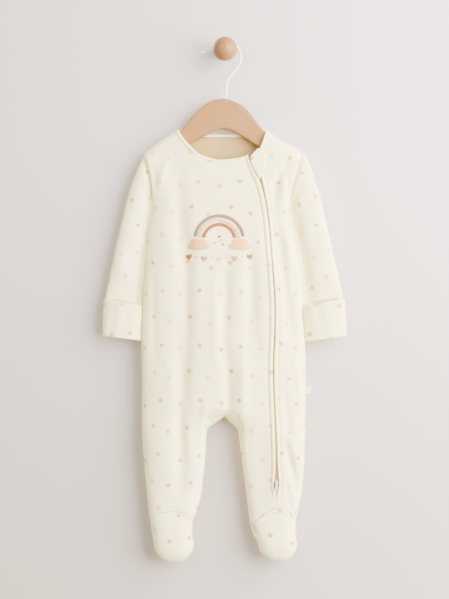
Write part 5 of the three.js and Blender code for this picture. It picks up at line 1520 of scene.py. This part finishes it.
def cloud_outline(x, z, width, height, count=72):
    bumps = ((-0.34, -0.1, 0.2), (-0.12, 0.16, 0.25), (0.16, 0.1, 0.24), (0.36, -0.12, 0.18), (0.0, -0.2, 0.3))
    angle = 2 * np.pi * np.arange(count) / count
    ray = np.stack([np.cos(angle), np.sin(angle)], axis=-1)
    best = np.zeros(count)
    for bx, bz, radius in bumps:
        b = ray @ np.array([bx, bz])
        inside = b * b - (bx * bx + bz * bz - radius * radius)
        best = np.where(inside > 0, np.maximum(best, b + np.sqrt(np.maximum(inside, 0))), best)
    flat_bottom = np.where(ray[:, 1] < -1e-6, 0.34 / np.maximum(-ray[:, 1], 1e-6), 9)
    best = np.minimum(np.maximum(best, 0.2), flat_bottom)
    best = (np.roll(best, 1) + 2 * best + np.roll(best, -1)) / 4
    return np.array([x, z]) + ray * best[:, None] * np.array([width * 0.92, height * 1.5])


def heart_outline(x, z, size, turn, count=48):
    t = 2 * np.pi * np.arange(count) / count
    hx = 16 * np.sin(t) ** 3
    hz = 13 * np.cos(t) - 5 * np.cos(2 * t) - 2 * np.cos(3 * t) - np.cos(4 * t)
    a = math.radians(turn)
    px = (hx * math.cos(a) - hz * math.sin(a)) / 32 * size
    pz = (hx * math.sin(a) + hz * math.cos(a)) / 32 * size
    return np.stack([x + px, z + pz], axis=-1)


def arc_patch(name, index, material):
    inner = ARCS["inner"] + index * ARCS["step"]
    angle = np.radians(np.linspace(172, 8, 61))
    across = np.linspace(0, 1, 9)
    radius = inner + across * ARCS["width"]
    x = ARCS["x"] + np.cos(angle)[:, None] * radius[None, :]
    z = ARCS["z"] + np.sin(angle)[:, None] * radius[None, :]
    lift = 0.1 + 1.1 * np.sin(np.pi * (0.08 + 0.84 * across))[None, :] ** 0.5
    ends = clamp(np.minimum(np.arange(61), np.arange(60, -1, -1)) / 3 + 0.2)[:, None] ** 0.5
    points = np.stack([x, -reach("front", x, z) - lift * ends, z], axis=-1)
    return shell_object(name, Shell(points, 1.4), [material, material])


# Operators


STATE = {}


def shared():
    """The settings and the materials, made once."""
    if "made" not in STATE:
        settings = bpy.context.scene.sleepsuit
        STATE["made"] = make_materials(settings)
    return bpy.context.scene.sleepsuit, STATE["made"]


def colour_setting(name, description, default):
    return FloatVectorProperty(name=name, description=description, subtype="COLOR", size=3, min=0, max=1,
                               default=srgb(*default))


class SleepsuitSettings(bpy.types.PropertyGroup):
    cloth_colour: colour_setting("Cloth colour", "Ground colour of the jersey", (252, 239, 180))
    star_deep: colour_setting("Deep star", "Colour of the deeper stars", (203, 136, 51))
    star_pale: colour_setting("Pale star", "Colour of the paler stars", (254, 185, 99))
    beech_colour: colour_setting("Hanger colour", "Colour of the hanger's wood", (150, 105, 53))
    knob_colour: colour_setting("Knob colour", "Colour of the wall knob's wood", (139, 98, 54))
    star_size: FloatProperty(
        name="Star size", description="Width of a printed star across its points", subtype="DISTANCE",
        unit="LENGTH", default=0.0099, min=0.002, max=0.03)
    stitch_length: FloatProperty(
        name="Stitch length", description="Length of one stitch of the visible seams", subtype="DISTANCE",
        unit="LENGTH", default=0.0024, min=0.001, max=0.006)
    camera_distance: FloatProperty(
        name="Camera distance", description="Distance of the camera from the wall", subtype="DISTANCE",
        unit="LENGTH", default=2.4, min=0.5, max=6.0)


class Step(bpy.types.Operator):
    bl_options = {"REGISTER", "UNDO"}

    def execute(self, context):
        settings, made = shared()
        self.build(settings, made)
        return {"FINISHED"}


class SLEEPSUIT_OT_body(Step):
    """Front panels, back panel and crotch gusset"""
    bl_idname = "sleepsuit.body"
    bl_label = "Body panels"

    def build(self, settings, made):
        cloth = [made["jersey"], made["plain"]]
        for name, shell, node in (("front_main_panel", build_front_main(), "front_main"),
                                  ("front_side_panel", build_front_side(), "front_side"),
                                  ("back_panel", build_back(), "back"),
                                  ("crotch_gusset", build_gusset(), "gusset")):
            hand_over(shell_object(name, shell, cloth), [node])


class SLEEPSUIT_OT_sleeves(Step):
    """Two sleeves with turned-back cuffs"""
    bl_idname = "sleepsuit.sleeves"
    bl_label = "Sleeves and cuffs"

    def build(self, settings, made):
        cloth = [made["jersey"], made["plain"]]
        for side in ("left", "right"):
            sleeve = shell_object(f"sleeve_{side}", build_sleeve(side), cloth)
            hand_over(sleeve, [f"sleeve_{side}"])
            vertices, faces, inside, flat = build_cuff(side)
            cuff = mesh_object(f"cuff_{side}", vertices, faces, cloth, inside, flat)
            hand_over(cuff, [f"cuff_{side}"])


class SLEEPSUIT_OT_feet(Step):
    """Tops and soles of the feet"""
    bl_idname = "sleepsuit.feet"
    bl_label = "Feet"

    def build(self, settings, made):
        cloth = [made["jersey"], made["plain"]]
        for side in ("left", "right"):
            top = shell_object(f"foot_top_{side}", build_foot(side, True), cloth)
            sole = shell_object(f"foot_sole_{side}", build_foot(side, False), cloth)
            hand_over(top, [f"foot_top_{side}"])
            hand_over(sole, [f"foot_sole_{side}"])


class SLEEPSUIT_OT_neck(Step):
    """Neck bindings, back-neck facing and chin guard"""
    bl_idname = "sleepsuit.neck"
    bl_label = "Neck"

    def build(self, settings, made):
        rib = [made["binding"], made["binding"]]
        main = shell_object("neck_binding_main", build_front_binding(NECK_MAIN, 120, 1.2), rib)
        side = shell_object("neck_binding_side", build_front_binding(NECK_SIDE, 40, 1.0), rib)
        back = shell_object("neck_binding_back", build_back_binding(), rib)
        facing = shell_object("back_neck_facing", build_facing(), [made["facing"], made["facing"]])
        guard = shell_object("chin_guard", build_guard(), [made["jersey"], made["plain"]])
        hand_over(main, ["neck_binding_main"])
        hand_over(side, ["neck_binding_side"])
        hand_over(back, ["neck_binding_back"])
        hand_over(facing, ["back_facing"])
        hand_over(guard, ["chin_guard"])


class SLEEPSUIT_OT_zip(Step):
    """Zip tapes, coil, slider and pull"""
    bl_idname = "sleepsuit.zip"
    bl_label = "Zip"

    def build(self, settings, made):
        for side in ("left", "right"):
            tape = shell_object(f"zip_tape_{side}", build_tape(side), [made["tape"], made["tape"]])
            hand_over(tape, [f"zip_tape_{side}"])
        tooth = bead("tooth", 0.75, 1.7, 1.1)
        z = np.linspace(ZIP_TOP - 20, COIL_END, 260)
        centre = zip_centre(z)
        y = -reach("front", centre, z, False) + 1.7
        normals = np.tile([0.0, -1.0, 0.0], (len(z), 1))
        lines = [(np.stack([centre + shift, y, z + 0.35 * k], axis=-1), normals)
                 for k, shift in enumerate((-0.55, 0.55))]
        coil = repeat_along("zip_coil", lines, tooth, 1.3, made["coil"], 0.05, 0.05)
        bpy.data.objects.remove(tooth)
        hand_over(coil, [])
        for node, body in (("zip_slider", "root"), ("zip_pull", "pull_tab")):
            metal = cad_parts[node]
            metal.data.materials.clear()
            metal.data.materials.append(made["nickel"])
            bevel = metal.modifiers.new("soft edges", "BEVEL")
            bevel.width = 0.00022
            bevel.segments = 3
            bevel.limit_method = "ANGLE"
            bevel.angle_limit = math.radians(40)


class SLEEPSUIT_OT_stitches(Step):
    """Visible machine stitches of the neck and zip, with a bar tack at the zip's foot"""
    bl_idname = "sleepsuit.stitches"
    bl_label = "Stitches"

    def build(self, settings, made):
        length = settings.stitch_length / MM
        stitch = bead("stitch", length * 0.72, 0.42, 0.36)
        lines = []
        for rows, ends in ((NECK_MAIN, (0.03, 0.9)), (NECK_SIDE, (0.1, 0.9))):
            lines.append(front_line(along(rows, np.linspace(*ends, 120), BAND + 3.4), 0.1))
        for side, first in ((-1, -151), (1, -184)):
            turn = np.sin(np.linspace(0.02, 1, 24) * math.pi / 2)
            z = np.concatenate([np.linspace(first, -594, 380), -594 - 23 * turn])
            line = side * stitch_away("left" if side < 0 else "right", z)
            lines.append(front_line(np.stack([zip_centre(z) + line, z], axis=-1), 0.12))
        step = np.arange(9)
        tack = np.stack([zip_centre(ROW_END) + (1 - np.abs(step - 4) / 5) * np.where(step % 2, 1.7, -1.7),
                         ROW_END + 1.6 - step * 0.5], axis=-1)
        lines.append(front_line(tack, 0.35))
        sewn = repeat_along("seam_stitches", lines, stitch, length, made["thread"])
        bpy.data.objects.remove(stitch)
        hand_over(sewn, [])


class SLEEPSUIT_OT_design(Step):
    """Rainbow, clouds, hearts and spots on the chest"""
    bl_idname = "sleepsuit.design"
    bl_label = "Chest design"

    def build(self, settings, made):
        for index, name in enumerate(("sand", "pink", "taupe")):
            arc = arc_patch(f"rainbow_arc_{index + 1}", index, made[("caramel", "pink", "taupe")[index]])
            hand_over(arc, [f"applique_arc_{index + 1}"])
        for name, (x, z, width, height) in zip(("left", "right"), rows_of(CLOUDS)):
            outline = cloud_outline(x, z, width, height)
            cloud = disc_patch(f"cloud_{name}", outline, np.array([x, z - 1.0]), 1.2, made["cloud"])
            hand_over(cloud, [f"applique_cloud_{name}"])
        hearts = []
        felts = ("caramel", "sand", "pink", "peach", "taupe")
        for felt, (x, z, size, turn) in zip(felts, rows_of(HEARTS)):
            outline = heart_outline(x, z, size, turn)
            name = f"heart_{len(hearts) + 1}"
            hearts.append(disc_patch(name, outline, outline.mean(axis=0), 0.5, made[felt], 6))
        for x, z, size in rows_of(SPOTS):
            a = 2 * np.pi * np.arange(24) / 24
            outline = np.stack([x + size / 2 * np.cos(a), z + size / 2 * np.sin(a)], axis=-1)
            hearts.append(disc_patch(f"spot_{len(hearts) - 4}", outline, np.array([x, z]), 0.5, made["spot"], 4))
        for piece in hearts:
            hand_over(piece, [])


class SLEEPSUIT_OT_label(Step):
    """Bare folded ribbon label in the side seam"""
    bl_idname = "sleepsuit.label"
    bl_label = "Side label"

    def build(self, settings, made):
        u, v = np.linspace(0, 1, 15)[:, None], np.linspace(-1, 1, 13)[None, :]
        x = float(body_right(LABEL_LINE)) - 1.5 + 8.4 * u
        y = -MID - 0.25 - 0.5 * np.sin(2.4 * u) - 0.15 * v ** 2
        z = LABEL_LINE + 4.9 * v
        ribbon = Shell(np.stack(np.broadcast_arrays(x, y, z), axis=-1), 0.8)
        label = shell_object("side_label", ribbon, [made["label"], made["label"]])
        hand_over(label, ["side_label"])


class SLEEPSUIT_OT_hanger(Step):
    """Wooden hanger with its hook and tip"""
    bl_idname = "sleepsuit.hanger"
    bl_label = "Hanger"

    def build(self, settings, made):
        hand_over(build_hanger(made), ["hanger_wood"])
        hand_over(build_hook(made), ["hanger_hook"])
        angle = np.linspace(0.05, math.pi - 0.05, 20)
        profile = [(2.4 * math.sin(a), MID - 2.4 * math.cos(a)) for a in angle]
        tip = lathe("hook_tip", profile, (HOOK["x"][-1] - 2.2, HOOK["z"][-1] + 0.1), made["tip"], 32)
        hand_over(tip, ["hook_tip"])


class SLEEPSUIT_OT_knob(Step):
    """Round wall knob"""
    bl_idname = "sleepsuit.knob"
    bl_label = "Wall knob"

    def build(self, settings, made):
        start = math.asin(KNOB["peg"] / KNOB["ball"])
        angles = np.linspace(start, math.pi - 0.02, 48)
        profile = [(KNOB["peg"], 0.0), (KNOB["peg"], 12.0)]
        profile += [(KNOB["ball"] * math.sin(a), KNOB["ball_out"] - KNOB["ball"] * math.cos(a)) for a in angles]
        hand_over(lathe("wall_knob", profile, (0.0, 0.0), made["knob"]), ["wall_knob"])


class SLEEPSUIT_OT_cloth(Step):
    """Looks up by name each piece of the table of cloth cut sizes, and the pieces it rests on"""
    bl_idname = "sleepsuit.cloth"
    bl_label = "Cloth pieces"

    def build(self, settings, made):
        get = bpy.data.objects.get
        for name, flat, area, held, rests in CLOTH_PIECES:
            get(name)
            [get(other) for other in rests]


CLOTH_PIECES = (
    ("front_main_panel", (0.23, 0.56), 0.090, "hung", ("hanger", "neck_binding_main")),
    ("front_side_panel", (0.08, 0.54), 0.024, "hung", ("hanger", "neck_binding_side")),
    ("back_panel", (0.25, 0.56), 0.115, "hung", ("hanger", "neck_binding_back")),
    ("crotch_gusset", (0.10, 0.045), 0.0030, "stretched", ("front_main_panel", "back_panel")),
    ("sleeve_left", (0.13, 0.22), 0.0220, "hung", ("front_main_panel", "back_panel")),
    ("sleeve_right", (0.13, 0.22), 0.0220, "hung", ("front_side_panel", "back_panel")),
    ("cuff_left", (0.12, 0.06), 0.0066, "folded", ("sleeve_left",)),
    ("cuff_right", (0.12, 0.06), 0.0066, "folded", ("sleeve_right",)),
    ("foot_top_left", (0.07, 0.075), 0.0043, "hung", ("front_main_panel",)),
    ("foot_top_right", (0.07, 0.075), 0.0043, "hung", ("front_main_panel",)),
    ("foot_sole_left", (0.065, 0.055), 0.0032, "hung", ("back_panel",)),
    ("foot_sole_right", (0.065, 0.055), 0.0032, "hung", ("back_panel",)),
    ("zip_tape_left", (0.01, 0.46), None, "stretched", ("front_main_panel",)),
    ("zip_tape_right", (0.01, 0.46), None, "stretched", ("front_side_panel",)),
    ("back_neck_facing", (0.12, 0.06), 0.0055, "hung", ("back_panel",)),
    ("chin_guard", (0.026, 0.044), 0.0008, "laid", ("front_side_panel",)),
)


class SLEEPSUIT_OT_stage(Step):
    """Wall, light and camera"""
    bl_idname = "sleepsuit.stage"
    bl_label = "Stage"

    def build(self, settings, made):
        shader = Shader("painted wall", roughness=0.9, specular_ior_level=0.1)
        x, _, z = shader.place()
        # Painted light falloff: the wall's base colour is lighter to the right and darker towards the bottom,
        # standing in for the key light on the right.
        tone = shader.range(x, -330.0, 330.0)
        low = shader.range(z, -780.0, -100.0)
        upper = shader.mix(tone, srgb(186, 177, 171), srgb(210, 196, 192))
        lower = shader.mix(tone, srgb(180, 165, 153), srgb(188, 177, 170))
        shader.set("Base Color", shader.mix(low, lower, upper))
        plaster = shader.noise(shader.vector(x / 1000.0, z / 1000.0), 350.0, 4.0)
        shader.bump(plaster, 0.04, 0.0005)
        clear = shader.tree.nodes.new("ShaderNodeBsdfTransparent")
        behind = shader.tree.nodes.new("ShaderNodeNewGeometry")
        blend = shader.tree.nodes.new("ShaderNodeMixShader")
        links = shader.tree.links
        links.new(behind.outputs["Backfacing"], blend.inputs[0])
        links.new(shader.surface.outputs[0], blend.inputs[1])
        links.new(clear.outputs[0], blend.inputs[2])
        links.new(blend.outputs[0], shader.tree.nodes["Material Output"].inputs["Surface"])
        corners = [(-4000, 0.4, -3500), (4000, 0.4, -3500), (4000, 0.4, 3000), (-4000, 0.4, 3000)]
        wall = mesh_object("wall", corners, [(0, 1, 2, 3)], [shader.material], smooth=False)
        wall.visible_shadow = False

        world = bpy.data.worlds.new("soft room")
        world.use_nodes = True
        world.node_tree.nodes["Background"].inputs["Color"].default_value = (1.0, 0.968, 0.935, 1.0)
        world.node_tree.nodes["Background"].inputs["Strength"].default_value = 1.0
        bpy.context.scene.world = world
        self.area_light("key", (1.5, -1.08, 0.1), (0.0, 0.0, -0.35), 2.6, 365.0, (1.0, 0.99, 0.975))
        self.area_light("fill", (-1.3, -2.0, 0.3), (0.0, 0.0, -0.36), 1.6, 30.0, (0.97, 0.98, 1.0))
        self.area_light("behind", (-1.2, 1.7, 0.7), (0.0, 0.0, -0.3), 1.2, 70.0, (1.0, 1.0, 1.0))

        distance = settings.camera_distance
        camera = bpy.data.cameras.new("camera")
        camera.sensor_fit = "VERTICAL"
        camera.sensor_height = 36.0
        camera.sensor_width = 36.0 * 449 / 599
        camera.lens = 36.0 * (distance - 0.02) / (599 * 1.39 * MM)
        camera.clip_end = 20.0
        obj = bpy.data.objects.new("camera", camera)
        obj.location = (-0.0007, -distance, -0.34597)
        obj.rotation_euler = (math.pi / 2, 0.0, 0.0)
        bpy.context.scene.collection.objects.link(obj)
        bpy.context.scene.camera = obj

    @staticmethod
    def area_light(name, place, aim, size, power, colour):
        light = bpy.data.lights.new(name, "AREA")
        light.shape = "DISK"
        light.size = size
        light.energy = power
        light.color = colour
        obj = bpy.data.objects.new(name, light)
        obj.location = place
        obj.rotation_euler = (Vector(aim) - Vector(place)).to_track_quat("-Z", "Y").to_euler()
        bpy.context.scene.collection.objects.link(obj)


class SLEEPSUIT_PT_panel(bpy.types.Panel):
    """Sizes, colours and the building steps"""
    bl_label = "Sleepsuit"
    bl_space_type = "VIEW_3D"
    bl_region_type = "UI"
    bl_category = "Sleepsuit"

    def draw(self, context):
        settings = context.scene.sleepsuit
        for name in SleepsuitSettings.__annotations__:
            self.layout.prop(settings, name)
        for step in STEPS:
            self.layout.operator(step.bl_idname)


STEPS = (
    SLEEPSUIT_OT_body, SLEEPSUIT_OT_sleeves, SLEEPSUIT_OT_feet, SLEEPSUIT_OT_neck, SLEEPSUIT_OT_zip,
    SLEEPSUIT_OT_stitches, SLEEPSUIT_OT_design, SLEEPSUIT_OT_label, SLEEPSUIT_OT_hanger, SLEEPSUIT_OT_knob,
    SLEEPSUIT_OT_cloth, SLEEPSUIT_OT_stage,
)
CLASSES = (SleepsuitSettings, *STEPS, SLEEPSUIT_PT_panel)


def register():
    for cls in CLASSES:
        bpy.utils.register_class(cls)
    bpy.types.Scene.sleepsuit = bpy.props.PointerProperty(type=SleepsuitSettings)


def unregister():
    del bpy.types.Scene.sleepsuit
    for cls in reversed(CLASSES):
        bpy.utils.unregister_class(cls)


def main():
    register()
    for step in STEPS:
        group, name = step.bl_idname.split(".")
        result = getattr(getattr(bpy.ops, group), name)()
        if result != {"FINISHED"}:
            raise RuntimeError(f"{step.bl_label} did not finish")
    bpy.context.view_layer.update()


if __name__ == "__main__":
    main()
